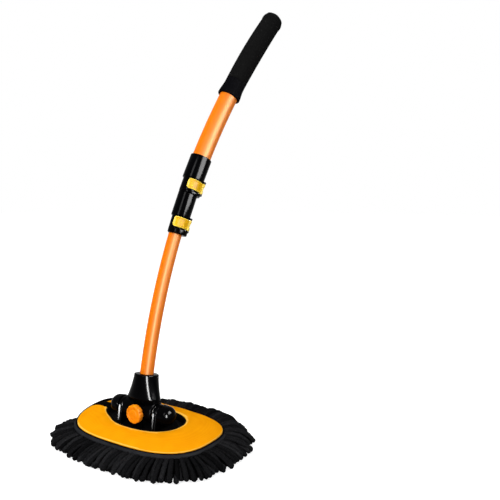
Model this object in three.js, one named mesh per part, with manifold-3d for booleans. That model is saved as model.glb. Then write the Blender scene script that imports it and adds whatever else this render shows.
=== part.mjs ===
// Car wash brush: an oval chenille pad under a padded cover, a tilting joint held by a lock knob,
// and a curved pole of three tubes that slide in one another and are held by two lever clamps.
// Millimetres, +Z up. The origin is the foot of the middle noodle, on the floor.
// +X runs along the pad, +Y to its back, and the pole leans back and bends to the right.

import * as THREE from 'three';
import { mergeVertices } from 'three/addons/utils/BufferGeometryUtils.js';
import Module from 'manifold-3d';

const wasm = await Module();
wasm.setup();

// Shared clearances
const seatGap = 0.3;
const runningGap = 0.35;
const cutOverrun = 2;

// Pad outline, a rounded oval, and the layers from the floor up
const padHalfLength = 108;
const padHalfWidth = 69;
const outlinePower = 2.8;
const noodleLength = 14;
const sliceThickness = 2;
const sliceInset = 0.6;
const foamThickness = 3;
const plateThickness = 3;
const plateInset = 17;
const ribHeight = 1;
const ribWidth = 2;
const ribStartGap = 4;
const ribEndGap = 5;
const ribPlaceShare = 0.6;
const sliceTop = noodleLength + sliceThickness;
const foamBottom = sliceTop + seatGap;
const foamTop = foamBottom + foamThickness;
const plateBottom = foamTop + seatGap;
const plateTop = plateBottom + plateThickness;

// Cover: a padded ring around the joint, open at a slit on the left
const coverThickness = 5;
const coverRimHeight = 3.6;
const coverCrown = 9;
const crownPower = 2.8;
const coverEdgeRound = 1.2;
const coverEdgeShare = 0.03;
const coverSoleShare = 0.11;
const crownShares = [0.16, 0.38, 0.68, 0.94];
const underShares = [0.65, 0.3];
const openingHalfLength = 57;
const openingHalfWidth = 39;
const openingPower = 2.3;
const keyholeReach = 23;
const keyholeSpreadShare = 0.3;
const slitHalfWidth = 4.4;

// Bindings: tapes sewn around the edges
const bindingWidth = 2.9;
const outerBindingWidth = 4.8;
const outerBindingSlope = 2.6;
const bindingHeight = 6;
const bindingRound = 0.9;
const bindingGap = 0.6;
const outerBindingDrop = 1.2;
const slitShares = [0.02, 0.35, 0.7];

// Noodles
const noodlePitch = 11.2;
const noodleRadius = 4.2;
const noodleTipShare = 0.72;
const noodleSides = 3;
const noodleScatter = 0.9;
const noodleField = 12.5;
const fringeRadius = 2.45;
const fringeReach = 35;
const fringePerQuarter = 17;
const fringeSides = 4;
const fringeFloorGap = 0.35;
const fringeRowDrop = 1;
// Points of the fringe as shares of its reach and of its root's height
const upperFringeShares = [[0.22, 0.96], [0.62, 0.68]];
const lowerFringeShares = [[0.06, 0.42]];
const lowerReachShare = 0.56;

// Joint
const pivotY = -11.6;
const pivotRise = 18.7;
const leanAngle = THREE.MathUtils.degToRad(10.6);
const barrelRadius = 11;
const barrelHalfLength = 26;
const drumKnobGap = 0.5;
const drumWebGap = 0.8;
const washerThickness = 1;
const washerRadius = 10.4;
const washerGap = 0.2;
const cheekThickness = 8.4;
const cheekRadius = 14.4;
const cheekFoot = 16.4;
const cheekBevel = 1.2;
const cheekInner = barrelHalfLength + washerThickness + 2 * washerGap;
const cheekOuter = cheekInner + cheekThickness;
const boltRadius = 4;
const boltHeadRadius = 6.8;
const boltHeadHeight = 5;
const hexSides = 6;
const capRadius = 13.8;
const capWall = 2;
const capLength = 19.6;
const capBarrelLength = 8;

// Flange of the yoke
const flangeHalfLength = 47.5;
const flangeHalfWidth = 29.5;
const flangePower = 2.2;
const flangeCentreY = -1.6;
const flangeEdge = 2.4;
const flangeRise = 4;
const plinthShare = 0.76;
const flangeShoulderShare = 0.35;
const flangeBrimShare = 0.85;
const flangeBottom = plateTop + seatGap;
const flangeTop = flangeBottom + flangeEdge + flangeRise;
const pivotHeight = flangeTop + pivotRise;
const baseScrewInset = 8;
const baseScrewY = 15;
const screwShankRadius = 1.5;
const screwHeadRadius = 3;
const screwHeadHeight = 1.8;
const screwRimShare = 0.6;
const screwFaceShare = 0.8;
const screwBite = 2.4;
const screwFloor = 1.7;

// Lock knob, its screw and the brake shoe in the boss of the yoke
const knobX = 3;
const knobRadius = 12.6;
const knobThickness = 7.4;
const knobLobes = 9;
const pointsPerLobe = 4;
const lobeDepth = 0.7;
const knobBevel = 1;
const knobHubRadius = 6;
const knobDishDepth = 0.8;
const knobDishRadius = 9;
const shoeRadius = 4.5;
const shoeThickness = 2;
const shoeTravel = 1;
const bossRadius = 8;
const bossWebWidth = 18;
const bossWall = 2;
const knobRecessDepth = 1.8;
const lockScrewRadius = 2.5;
const lockScrewBite = 4.8;

// Socket
const socketTopRadius = 17;
const socketTop = 49.3;
const skirtHeight = 17;
const skirtDepth = 18;
const neckHeight = 8;
const neckDepth = 9.6;
const socketChamfer = 1.4;
const tubeSink = 18;
const socketScrewHeight = 36;
const socketScrewStand = 2;
const socketScrewReach = 1;
const roundPower = 2;
const skirtPower = 1.4;

// Pole: three tubes on one arc
const bendRadius = 1223;
const bendAzimuth = THREE.MathUtils.degToRad(54.2);
const arcStart = 33.6;
const tubeWall = 1.2;
const lowerTubeRadius = 9.5;
const middleTubeRadius = 11.5;
const upperTubeRadius = 13.5;
const lowerTubeTop = 505;
const middleTubeLead = 55;
const upperTubeLead = 21;
const middleTubeTop = lowerTubeTop + middleTubeLead;
const upperTubeTop = middleTubeTop + upperTubeLead;
const tubeStep = 40;
const bushLip = 6;
const bushStem = 15;
const bushWall = 2;

// Lever clamps, lower one first
const lowerClampStart = 215;
const clampGap = 0.6;
const lowerLipLength = 7.5;
const upperLipLength = 4;
const lipSpread = 1.6;
const lowerLipShift = 2.7;
const upperLipShift = 1.9;
const neckLength = 17.5;
const neckWall = 2.1;
const sleeveLength = 35;
const sleeveWall = 2;
const clampChamfer = 1.6;
const splitWidth = 2;
const splitAngle = THREE.MathUtils.degToRad(-185);
const leverWall = 2.6;
const leverHeight = 15.5;
const leverCorner = 4;
const lowerLeverStart = THREE.MathUtils.degToRad(-143);
const upperLeverStart = THREE.MathUtils.degToRad(-130);
const hingeAngle = THREE.MathUtils.degToRad(-22);
const knuckleRadius = 2.7;
const hingeStandOff = 1.4;
const hingePinRadius = 1.2;
const earLength = 3;

// Grip
const gripLength = 130;
const gripEndInset = 13;
const gripCollarLength = 22;
const gripCollarRadius = 17.2;
const collarNeckShare = 0.55;
const collarTaperShare = 0.3;
const gripRadius = 16;
const gripWaist = 15.4;
const capBulge = 15.9;
const endCapLength = 19;
const endCapDomeShare = 0.72;
const gripEnd = upperTubeTop - gripEndInset;
const gripStart = gripEnd - gripLength;

// Facets
const outlineSteps = 40;
const mouldingSteps = 24;
const roundSegments = 16;
const smallSegments = 10;
const arcPieces = 4;

// Materials from the photograph
const orangeFabric = { color: 0xf6a709, roughness: 0.85, metalness: 0 };
const orangePaint = { color: 0xf18a10, roughness: 0.28, metalness: 0.1 };
const orangePlastic = { color: 0xff9a14, roughness: 0.4, metalness: 0 };
const yellowPlastic = { color: 0xf8c814, roughness: 0.4, metalness: 0 };
const glossBlack = { color: 0x0a0a0c, roughness: 0.15, metalness: 0 };
const mattBlack = { color: 0x161616, roughness: 0.7, metalness: 0 };
const foamBlack = { color: 0x1c1c1c, roughness: 0.95, metalness: 0 };
const noodleBlack = { color: 0x121212, roughness: 1, metalness: 0 };
const greyFoam = { color: 0x4a4a4a, roughness: 1, metalness: 0 };
const whitePlastic = { color: 0xd8d8d4, roughness: 0.5, metalness: 0 };
const steel = { color: 0xb8bcc0, roughness: 0.3, metalness: 1 };

const part = new THREE.Group();

// The joint's frame turns about the pivot, and the pole's frame has its X towards the bend's centre.
const joint = new THREE.Group();
joint.position.set(0, pivotY, pivotHeight);
joint.rotation.x = -leanAngle;
const pole = new THREE.Group();
pole.rotation.z = bendAzimuth;
joint.add(pole);
part.add(joint);

// Helpers for closed geometry

// Keeps positions only, merges the corners and turns the faces outwards.
function closed(geometry) {
  const bare = geometry.index ? geometry.clone() : geometry;
  bare.deleteAttribute('normal');
  bare.deleteAttribute('uv');
  const merged = mergeVertices(bare);
  const points = merged.attributes.position;
  const index = merged.index.array;
  const [a, b, c] = [new THREE.Vector3(), new THREE.Vector3(), new THREE.Vector3()];
  let volume = 0;
  for (let i = 0; i < index.length; i += 3) {
    a.fromBufferAttribute(points, index[i]);
    b.fromBufferAttribute(points, index[i + 1]);
    c.fromBufferAttribute(points, index[i + 2]);
    volume += a.dot(b.cross(c));
  }
  if (volume < 0) {
    for (let i = 0; i < index.length; i += 3) {
      [index[i + 1], index[i + 2]] = [index[i + 2], index[i + 1]];
    }
  }
  return merged;
}

// Turns a closed geometry into a solid that can be joined and cut.
function solid(geometry) {
  const merged = closed(geometry);
  return new wasm.Manifold(new wasm.Mesh({
    numProp: 3,
    vertProperties: new Float32Array(merged.attributes.position.array),
    triVerts: new Uint32Array(merged.index.array),
  }));
}

function geometryOf(body) {
  const mesh = body.getMesh();
  const geometry = new THREE.BufferGeometry();
  geometry.setAttribute('position', new THREE.BufferAttribute(mesh.vertProperties, mesh.numProp));
  geometry.setIndex(new THREE.BufferAttribute(mesh.triVerts, 1));
  return geometry;
}

function join(...geometries) {
  const [first, ...rest] = geometries.map(solid);
  return geometryOf(rest.reduce((whole, piece) => whole.add(piece), first));
}

function cut(geometry, ...tools) {
  return geometryOf(tools.map(solid).reduce((whole, tool) => whole.subtract(tool), solid(geometry)));
}

function common(geometry, other) {
  return geometryOf(solid(geometry).intersect(solid(other)));
}

// A closed body through rings of equal length, capped at both ends or joined into a loop.
function loft(rings, looped = false) {
  const count = rings[0].length;
  const positions = rings.flat().flatMap((point) => [point.x, point.y, point.z]);
  const index = [];
  const spans = looped ? rings.length : rings.length - 1;
  for (let i = 0; i < spans; i += 1) {
    const low = i * count;
    const high = ((i + 1) % rings.length) * count;
    for (let j = 0; j < count; j += 1) {
      const next = (j + 1) % count;
      index.push(low + j, low + next, high + next, low + j, high + next, high + j);
    }
  }
  if (!looped) {
    const last = (rings.length - 1) * count;
    for (const [a, b, c] of capFaces(rings[0])) index.push(c, b, a);
    for (const [a, b, c] of capFaces(rings.at(-1))) index.push(last + a, last + b, last + c);
  }
  const geometry = new THREE.BufferGeometry();
  geometry.setAttribute('position', new THREE.Float32BufferAttribute(positions, 3));
  geometry.setIndex(index);
  return geometry;
}

// Triangles of a flat ring, wound the way the ring runs.
function capFaces(ring) {
  const normal = new THREE.Vector3();
  const centre = ring.reduce((sum, point) => sum.add(point), new THREE.Vector3())
    .divideScalar(ring.length);
  ring.forEach((point, i) => {
    const next = ring[(i + 1) % ring.length];
    normal.add(point.clone().sub(centre).cross(next.clone().sub(centre)));
  });
  normal.normalize();
  const u = ring[1].clone().sub(ring[0]).normalize();
  const v = normal.clone().cross(u);
  const flat = ring.map((point) => new THREE.Vector2(point.dot(u), point.dot(v)));
  return THREE.ShapeUtils.triangulateShape(flat, []);
}

// A body of revolution about Z from [radius, height] points.
function revolve(profile, segments = roundSegments) {
  const points = profile.map(([radius, height]) => new THREE.Vector2(radius, height));
  return new THREE.LatheGeometry(points, segments).rotateX(Math.PI / 2);
}

// A ring of revolution, whose profile closes on itself.
function revolveRing(profile, segments = roundSegments) {
  return revolve([...profile, profile[0]], segments);
}

function cylinder(radius, low, high, segments = roundSegments) {
  const length = high - low;
  return new THREE.CylinderGeometry(radius, radius, length, segments)
    .rotateX(Math.PI / 2).translate(0, 0, low + length / 2);
}

function box(lowX, highX, lowY, highY, lowZ, highZ) {
  return new THREE.BoxGeometry(highX - lowX, highY - lowY, highZ - lowZ)
    .translate((lowX + highX) / 2, (lowY + highY) / 2, (lowZ + highZ) / 2);
}

// Turns a body made along +Z so that it lies along +X or -Y.
const alongX = (geometry) => geometry.rotateY(Math.PI / 2);
const alongFront = (geometry) => geometry.rotateX(Math.PI / 2);

function place(name, geometry, look, parent = part) {
  const mesh = new THREE.Mesh(closed(geometry), new THREE.MeshStandardMaterial(look));
  mesh.name = name;
  parent.add(mesh);
}

// Radius of a rounded oval in one direction.
function ovalRadius(angle, halfLength, halfWidth, power) {
  const x = Math.abs(Math.cos(angle) / halfLength) ** power;
  const y = Math.abs(Math.sin(angle) / halfWidth) ** power;
  return (x + y) ** (-1 / power);
}

function oval(halfLength, halfWidth, power, height, steps = mouldingSteps, centreY = 0) {
  return Array.from({ length: steps }, (_, i) => {
    const angle = (2 * Math.PI * i) / steps;
    const radius = ovalRadius(angle, halfLength, halfWidth, power);
    return new THREE.Vector3(radius * Math.cos(angle), centreY + radius * Math.sin(angle), height);
  });
}

// The pad's outline moved in or out.
function padOval(offset, height) {
  return oval(padHalfLength + offset, padHalfWidth + offset, outlinePower, height, outlineSteps);
}

// A number from -1 to 1 that looks random and is the same each time.
function scatter(seed) {
  const seedTurn = 12.9898;
  const digitShift = 43758.5453;
  const wave = Math.sin(seed * seedTurn) * digitShift;
  return 2 * (wave - Math.floor(wave)) - 1;
}

// Noodles: a backing slice in four quarters, each with its underside noodles and its fringe

// A noodle through points, with a radius at each point.
function strand(points, radii, sides, turn) {
  const steepShare = 0.9;
  const rings = points.map((point, i) => {
    const before = points[Math.max(i - 1, 0)];
    const after = points[Math.min(i + 1, points.length - 1)];
    const along = after.clone().sub(before).normalize();
    const reference = new THREE.Vector3(0, 0, 1);
    if (Math.abs(along.z) > steepShare) reference.set(1, 0, 0);
    const side = reference.cross(along).normalize();
    const other = along.clone().cross(side);
    return Array.from({ length: sides }, (_, k) => {
      const angle = turn + (2 * Math.PI * k) / sides;
      return point.clone()
        .addScaledVector(side, radii[i] * Math.cos(angle))
        .addScaledVector(other, radii[i] * Math.sin(angle));
    });
  });
  return loft(rings);
}

// A noodle under the pad: it starts in the backing and stands on a flat foot.
function undersideNoodle(column, row) {
  const columnSeed = 7.3;
  const rowSeed = 3.1;
  const seed = column * columnSeed + row * rowSeed;
  const wander = column === 0 && row === 0 ? 0 : noodleScatter;
  const x = column * noodlePitch;
  const y = row * noodlePitch;
  const footX = x + wander * scatter(seed);
  const footY = y + wander * scatter(seed + 1);
  const turn = Math.PI * scatter(seed + 2);
  const ring = (px, py, height, radius) => Array.from({ length: noodleSides }, (_, k) => {
    const angle = turn + (2 * Math.PI * k) / noodleSides;
    return new THREE.Vector3(px + radius * Math.cos(angle), py + radius * Math.sin(angle), height);
  });
  return loft([
    ring(footX, footY, 0, noodleRadius * noodleTipShare),
    ring(x, y, noodleLength + sliceThickness / 2, noodleRadius),
  ]);
}

// The edge of the pad as points with their outward directions and the length walked so far.
function edgeWalk(fromAngle, toAngle, offset) {
  const samples = 160;
  const halfLength = padHalfLength + offset;
  const halfWidth = padHalfWidth + offset;
  const walk = [];
  for (let i = 0; i <= samples; i += 1) {
    const angle = fromAngle + ((toAngle - fromAngle) * i) / samples;
    const radius = ovalRadius(angle, halfLength, halfWidth, outlinePower);
    const point = new THREE.Vector3(radius * Math.cos(angle), radius * Math.sin(angle), 0);
    const outward = new THREE.Vector3(
      Math.sign(point.x) * Math.abs(point.x / halfLength) ** (outlinePower - 1) / halfLength,
      Math.sign(point.y) * Math.abs(point.y / halfWidth) ** (outlinePower - 1) / halfWidth,
      0,
    ).normalize();
    const before = walk.at(-1);
    const length = before ? before.length + before.point.distanceTo(point) : 0;
    walk.push({ point, outward, length });
  }
  return walk;
}

// One row of fringe noodles along a quarter of the edge. The route gives, for each point of a
// noodle, how far out it lies and how high.
function fringeRow(walk, count, firstShare, route, seed) {
  const total = walk.at(-1).length;
  return Array.from({ length: count }, (_, k) => {
    const goal = (total * (k + firstShare)) / fringePerQuarter;
    const here = walk.find((step) => step.length >= goal);
    const across = new THREE.Vector3(-here.outward.y, here.outward.x, 0);
    const sway = scatter(seed + k);
    const points = route.map(([out, height], i) => here.point.clone()
      .addScaledVector(here.outward, out)
      .addScaledVector(across, (sway * noodleScatter * i) / route.length)
      .setZ(height));
    const radii = points.map((_, i) => fringeRadius * (i === points.length - 1 ? noodleTipShare : 1));
    return strand(points, radii, fringeSides, Math.PI / 4);
  });
}

function chenilleQuarter(name, signX, signY, seed) {
  const splitX = noodlePitch / 2;
  const splitY = noodlePitch / 2;
  const reach = padHalfLength + cutOverrun;
  const halfGap = seatGap / 2;
  const quarter = box(
    signX > 0 ? splitX + halfGap : -reach,
    signX > 0 ? reach : splitX - halfGap,
    signY > 0 ? splitY + halfGap : -reach,
    signY > 0 ? reach : splitY - halfGap,
    noodleLength - cutOverrun,
    sliceTop + cutOverrun,
  );
  const slab = loft([padOval(-sliceInset, noodleLength), padOval(-sliceInset, sliceTop)]);
  let body = solid(common(slab, quarter));

  const columns = Math.ceil(padHalfLength / noodlePitch);
  for (let column = -columns; column <= columns; column += 1) {
    for (let row = -columns; row <= columns; row += 1) {
      const x = column * noodlePitch;
      const y = row * noodlePitch;
      const inQuarter = (signX > 0) === (x > splitX) && (signY > 0) === (y > splitY);
      const field = ovalRadius(Math.atan2(y, x), padHalfLength - noodleField,
        padHalfWidth - noodleField, outlinePower);
      if (inQuarter && Math.hypot(x, y) <= field) body = body.add(solid(undersideNoodle(column, row)));
    }
  }

  // The quarter's stretch of edge, between the two splits
  const endX = Math.asin(splitY / padHalfLength);
  const endY = Math.acos(splitX / padHalfWidth);
  const ends = {
    '1,1': [endX, endY],
    '-1,1': [endY, Math.PI - endX],
    '-1,-1': [Math.PI - endX, 2 * Math.PI - endY],
    '1,-1': [-endY, endX],
  };
  const [from, to] = ends[`${signX},${signY}`];
  const floorLine = fringeRadius + fringeFloorGap;
  const rootLine = noodleLength - fringeRowDrop;
  const upperRoute = [
    [-sliceInset - fringeRadius, rootLine],
    ...upperFringeShares.map(([out, height]) => [fringeReach * out, rootLine * height]),
    [fringeReach, floorLine],
  ];
  const lowerRoute = [
    [-sliceInset - 4 * fringeRadius, rootLine],
    ...lowerFringeShares.map(([out, height]) => [fringeReach * out, rootLine * height]),
    [fringeReach * lowerReachShare, floorLine],
  ];
  const walk = edgeWalk(from, to, 0);
  const upper = fringeRow(walk, fringePerQuarter, 1 / 2, upperRoute, seed);
  const lower = fringeRow(walk, fringePerQuarter - 1, 1, lowerRoute, seed + fringePerQuarter);
  for (const noodle of [...upper, ...lower]) body = body.add(solid(noodle));
  place(name, geometryOf(body), noodleBlack);
}

chenilleQuarter('chenille_front_left', -1, -1, 11);
chenilleQuarter('chenille_front_right', 1, -1, 53);
chenilleQuarter('chenille_back_left', -1, 1, 97);
chenilleQuarter('chenille_back_right', 1, 1, 131);

// Foam layer between the backing and the plate
place('pad_foam', loft([padOval(-seatGap, foamBottom), padOval(-seatGap, foamTop)]), greyFoam);

// Base plate: a moulded board with stiffening ribs and blind holes for the yoke's screws
function basePlate() {
  const board = loft([padOval(-plateInset, plateBottom), padOval(-plateInset, plateTop)]);
  const ribs = [];
  const startX = flangeHalfLength + ribStartGap;
  const startY = flangeHalfWidth + ribStartGap;
  for (const side of [-1, 1]) {
    const endX = side * (padHalfLength - plateInset - ribEndGap);
    const endY = side * (padHalfWidth - plateInset - ribEndGap);
    const low = plateTop - ribHeight;
    const high = plateTop + ribHeight;
    for (const rank of [-1, 0, 1]) {
      const y = rank * flangeHalfWidth * ribPlaceShare;
      const [lowX, highX] = [side * startX, endX].sort((a, b) => a - b);
      ribs.push(box(lowX, highX, y - ribWidth / 2, y + ribWidth / 2, low, high));
      const x = rank * flangeHalfLength * ribPlaceShare;
      const [lowY, highY] = [side * startY, endY].sort((a, b) => a - b);
      ribs.push(box(x - ribWidth / 2, x + ribWidth / 2, lowY, highY, low, high));
    }
  }
  const holeBottom = plateTop - screwBite - seatGap / 2;
  const holes = baseScrewPlaces().map(([x, y]) => cylinder(
    screwShankRadius + seatGap, holeBottom, plateTop + cutOverrun, smallSegments,
  ).translate(x, y, 0));
  return cut(join(board, ...ribs), ...holes);
}

function baseScrewPlaces() {
  return [[-1, -1], [1, -1], [-1, 1], [1, 1]]
    .map(([x, y]) => [x * (cheekInner - baseScrewInset), flangeCentreY + y * baseScrewY]);
}

place('base_plate', basePlate(), mattBlack);

// Cover and bindings

const coverBottom = foamTop + seatGap;
const coverRimTop = foamTop + coverRimHeight;

// Height of the cover's top at a share of the way from its outer edge to the opening.
function coverTop(share) {
  return coverRimTop + coverCrown * (1 - (1 - share) ** crownPower);
}

// The opening is an oval that runs out to a keyhole where the slit meets it.
function openingRadius(angle) {
  const fromSlit = Math.PI - Math.abs(angle);
  const keyhole = keyholeReach * Math.exp(-((fromSlit / keyholeSpreadShare) ** 2));
  return ovalRadius(angle, openingHalfLength, openingHalfWidth, openingPower) + keyhole;
}

// A place on the cover: turn runs from -1 to 1 from one side of the slit round to the other,
// and share from the outer edge to the opening.
function coverPoint(turn, share) {
  const angle = turn * (Math.PI - Math.asin(slitHalfWidth / padHalfLength));
  const outer = ovalRadius(angle, padHalfLength, padHalfWidth, outlinePower);
  const inner = openingRadius(angle);
  const radius = outer + (inner - outer) * share;
  const bearing = turn * (Math.PI - Math.asin(slitHalfWidth / radius));
  return new THREE.Vector3(radius * Math.cos(bearing), radius * Math.sin(bearing), 0);
}

function coverRing(turn) {
  const under = (share) => Math.max(coverTop(share) - coverThickness, coverBottom);
  const section = [
    [0, coverBottom],
    [0, coverRimTop - coverEdgeRound],
    [coverEdgeShare, coverTop(coverEdgeShare)],
    ...crownShares.map((share) => [share, coverTop(share)]),
    [1, coverTop(1) - coverEdgeRound],
    [1, coverTop(1) - coverThickness],
    ...underShares.map((share) => [share, under(share)]),
    [coverSoleShare, coverBottom],
  ];
  return section.map(([share, height]) => coverPoint(turn, share).setZ(height));
}

const coverTurns = Array.from({ length: outlineSteps + 1 }, (_, i) => (2 * i) / outlineSteps - 1);
place('cover_panel', loft(coverTurns.map(coverRing)), orangeFabric);

// Section of a binding tape, from its side against the edge to its free side, whose top may slope.
function bindingSection(low, high, width = bindingWidth, slope = 0) {
  return [
    [0, low],
    [width - bindingRound, low],
    [width, low + bindingRound],
    [width, high - slope - bindingRound],
    [width - bindingRound, high - slope],
    [0, high],
  ];
}

function outerBinding() {
  const high = coverRimTop - outerBindingDrop;
  const section = bindingSection(high - bindingHeight, high, outerBindingWidth, outerBindingSlope);
  const rings = Array.from({ length: outlineSteps }, (_, i) => {
    const angle = (2 * Math.PI * i) / outlineSteps;
    return section.map(([out, height]) => {
      const offset = bindingGap + out;
      const radius = ovalRadius(angle, padHalfLength + offset, padHalfWidth + offset, outlinePower);
      return new THREE.Vector3(radius * Math.cos(angle), radius * Math.sin(angle), height);
    });
  });
  return loft(rings, true);
}

place('outer_binding', outerBinding(), mattBlack);

// The tape of the opening runs in along one side of the slit, round the opening and out again.
function openingBinding() {
  const route = [
    ...slitShares.map((share) => [-1, share]),
    ...coverTurns.map((turn) => [turn, 1]),
    ...slitShares.toReversed().map((share) => [1, share]),
  ];
  const line = route.map(([turn, share]) => coverPoint(turn, share));
  const rings = route.map(([, share], i) => {
    const before = line[Math.max(i - 1, 0)];
    const after = line[Math.min(i + 1, line.length - 1)];
    const along = after.clone().sub(before).normalize();
    const inward = new THREE.Vector3(-along.y, along.x, 0);
    const high = coverTop(share) - coverEdgeRound / 2;
    const low = Math.max(high - bindingHeight, coverBottom);
    return bindingSection(low, high).map(([out, height]) => line[i].clone()
      .addScaledVector(inward, seatGap + out)
      .setZ(height));
  });
  return loft(rings);
}

place('opening_binding', openingBinding(), mattBlack);

// Yoke: flange, two cheeks and the boss of the lock screw, moulded in one

const pivotOverFlange = pivotHeight - flangeBottom;

// Distances of the lock's pieces in front of the pivot
const shoeFace = barrelRadius + seatGap;
const shoeBack = shoeFace + shoeThickness;
const shoeRecess = shoeBack + shoeTravel + seatGap;
const bossFront = shoeRecess + bossWall;
const knobSeat = bossFront + seatGap;
const knobBack = knobSeat - knobRecessDepth;
const knobFront = knobBack + knobThickness;
const drumRadius = knobBack - drumKnobGap;

// The thick ends of the barrel, which pass the boss's web on both sides, or the room for them.
function drums(room) {
  return [
    [-barrelHalfLength - room, knobX - bossWebWidth / 2 - drumWebGap + room],
    [knobX + bossWebWidth / 2 + drumWebGap - room, barrelHalfLength + room],
  ].map(([low, high]) => alongX(cylinder(drumRadius + room, low, high)));
}

function cheek() {
  const reach = Math.hypot(cheekFoot, pivotOverFlange);
  const tangent = Math.acos(cheekRadius / reach) - Math.atan2(pivotOverFlange, cheekFoot);
  const outline = new THREE.Shape();
  outline.moveTo(-cheekFoot, -pivotOverFlange + cheekBevel);
  outline.lineTo(cheekFoot, -pivotOverFlange + cheekBevel);
  outline.absarc(0, 0, cheekRadius, tangent, Math.PI - tangent);
  return new THREE.ExtrudeGeometry(outline, {
    depth: cheekThickness - 2 * cheekBevel,
    bevelThickness: cheekBevel,
    bevelSize: cheekBevel,
    bevelOffset: -cheekBevel,
    bevelSegments: 1,
    curveSegments: smallSegments / 2,
  }).translate(0, 0, cheekInner + cheekBevel);
}

// Sends a body made with its section in XY and its length along Z to a section in YZ along X.
const sideways = new THREE.Matrix4().makeBasis(
  new THREE.Vector3(0, 1, 0), new THREE.Vector3(0, 0, 1), new THREE.Vector3(1, 0, 0),
);

function yokeBase() {
  const ring = (share, height) => oval(flangeHalfLength * share, flangeHalfWidth * share,
    flangePower, height, mouldingSteps, flangeCentreY);
  const midShare = (1 + plinthShare) / 2;
  const flange = loft([
    ring(1, flangeBottom),
    ring(1, flangeBottom + flangeEdge),
    ring(midShare, flangeBottom + flangeEdge + flangeRise * flangeShoulderShare),
    ring(plinthShare, flangeBottom + flangeEdge + flangeRise * flangeBrimShare),
    ring(plinthShare * plinthShare, flangeTop),
  ]);
  const cheeks = [0, Math.PI].map((turn) => cheek().applyMatrix4(sideways).rotateZ(turn)
    .translate(0, pivotY, pivotHeight));
  const boss = alongFront(cylinder(bossRadius, shoeFace, bossFront))
    .translate(knobX, pivotY, pivotHeight);
  const web = box(
    knobX - bossWebWidth / 2, knobX + bossWebWidth / 2,
    pivotY - knobBack + seatGap, pivotY - shoeFace - seatGap,
    flangeBottom + flangeEdge, pivotHeight - bossRadius / 2,
  );
  const bolt = alongX(cylinder(boltRadius + seatGap, -cheekOuter - cutOverrun,
    cheekOuter + cutOverrun)).translate(0, pivotY, pivotHeight);
  const barrelRoom = alongX(cylinder(shoeFace, -cheekInner, cheekInner))
    .translate(0, pivotY, pivotHeight);
  const drumRooms = drums(seatGap).map((room) => room.translate(0, pivotY, pivotHeight));
  const shoeRoom = alongFront(cylinder(shoeRadius + seatGap, 0, shoeRecess, smallSegments))
    .translate(knobX, pivotY, pivotHeight);
  const screwRoom = alongFront(cylinder(lockScrewRadius + seatGap, 0, bossFront + cutOverrun,
    smallSegments)).translate(knobX, pivotY, pivotHeight);
  const seats = baseScrewPlaces().flatMap(([x, y]) => [
    cylinder(screwShankRadius + seatGap, flangeBottom - cutOverrun, flangeTop, smallSegments)
      .translate(x, y, 0),
    cylinder(screwHeadRadius + seatGap, flangeBottom + screwFloor, flangeTop + cutOverrun,
      smallSegments).translate(x, y, 0),
  ]);
  return cut(join(flange, ...cheeks, boss, web), bolt, barrelRoom, ...drumRooms, shoeRoom,
    screwRoom, ...seats);
}

place('yoke_base', yokeBase(), glossBlack);

const baseScrewNames = ['front_left', 'front_right', 'back_left', 'back_right'];
baseScrewPlaces().forEach(([x, y], i) => {
  const seat = flangeBottom + screwFloor + seatGap;
  const driveRadius = screwHeadRadius / 2;
  const driveDepth = screwHeadHeight / 2;
  const screw = revolve([
    [0, plateTop - screwBite],
    [screwShankRadius, plateTop - screwBite],
    [screwShankRadius, seat],
    [screwHeadRadius, seat],
    [screwHeadRadius, seat + screwHeadHeight * screwRimShare],
    [screwHeadRadius * screwFaceShare, seat + screwHeadHeight],
    [driveRadius, seat + screwHeadHeight],
    [driveRadius, seat + screwHeadHeight - driveDepth],
    [0, seat + screwHeadHeight - driveDepth],
  ], smallSegments);
  place(`base_screw_${baseScrewNames[i]}`, screw.translate(x, y, 0), steel);
});

// Pivot: bolt, nut, washers and the domed caps over the bolt's ends

const headSeat = cheekOuter + seatGap;
const atPivot = (geometry) => geometry.translate(0, pivotY, pivotHeight);

function pivotBolt() {
  const shank = cylinder(boltRadius, -headSeat - boltHeadHeight, headSeat + boltHeadHeight / 2,
    smallSegments);
  const head = cylinder(boltHeadRadius, headSeat, headSeat + boltHeadHeight, hexSides);
  return alongX(join(shank, head));
}

function pivotNut() {
  const hexagon = cylinder(boltHeadRadius, -headSeat - boltHeadHeight, -headSeat, hexSides);
  const bore = cylinder(boltRadius + seatGap, -headSeat - boltHeadHeight - cutOverrun,
    -headSeat + cutOverrun, smallSegments);
  return alongX(cut(hexagon, bore));
}

function pivotCap() {
  const dome = [];
  const cavity = [];
  const domeSteps = 3;
  const innerRadius = capRadius - capWall;
  const domeRise = capLength - capBarrelLength;
  for (let i = 0; i <= domeSteps; i += 1) {
    const angle = (Math.PI / 2) * (i / domeSteps);
    dome.push([capRadius * Math.cos(angle), capBarrelLength + domeRise * Math.sin(angle)]);
    cavity.push([innerRadius * Math.cos(angle),
      capBarrelLength + (domeRise - capWall) * Math.sin(angle)]);
  }
  return revolve([...dome.toReversed(), [capRadius, 0], [innerRadius, 0], ...cavity]);
}

place('pivot_bolt', atPivot(pivotBolt()), steel);
place('pivot_nut', atPivot(pivotNut()), steel);
[['left', -1], ['right', 1]].forEach(([side, sign]) => {
  const turned = (geometry) => (sign > 0 ? geometry : geometry.rotateZ(Math.PI));
  const inner = barrelHalfLength + washerGap;
  const washer = revolveRing([
    [boltRadius + seatGap, inner],
    [washerRadius, inner],
    [washerRadius, inner + washerThickness],
    [boltRadius + seatGap, inner + washerThickness],
  ], smallSegments);
  place(`friction_washer_${side}`, atPivot(turned(alongX(washer))), whitePlastic);
  const cap = alongX(pivotCap().translate(0, 0, headSeat));
  place(`pivot_cap_${side}`, atPivot(turned(cap)), glossBlack);
});

// Lock: a scalloped knob on a screw that presses a shoe against the socket's barrel

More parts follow.
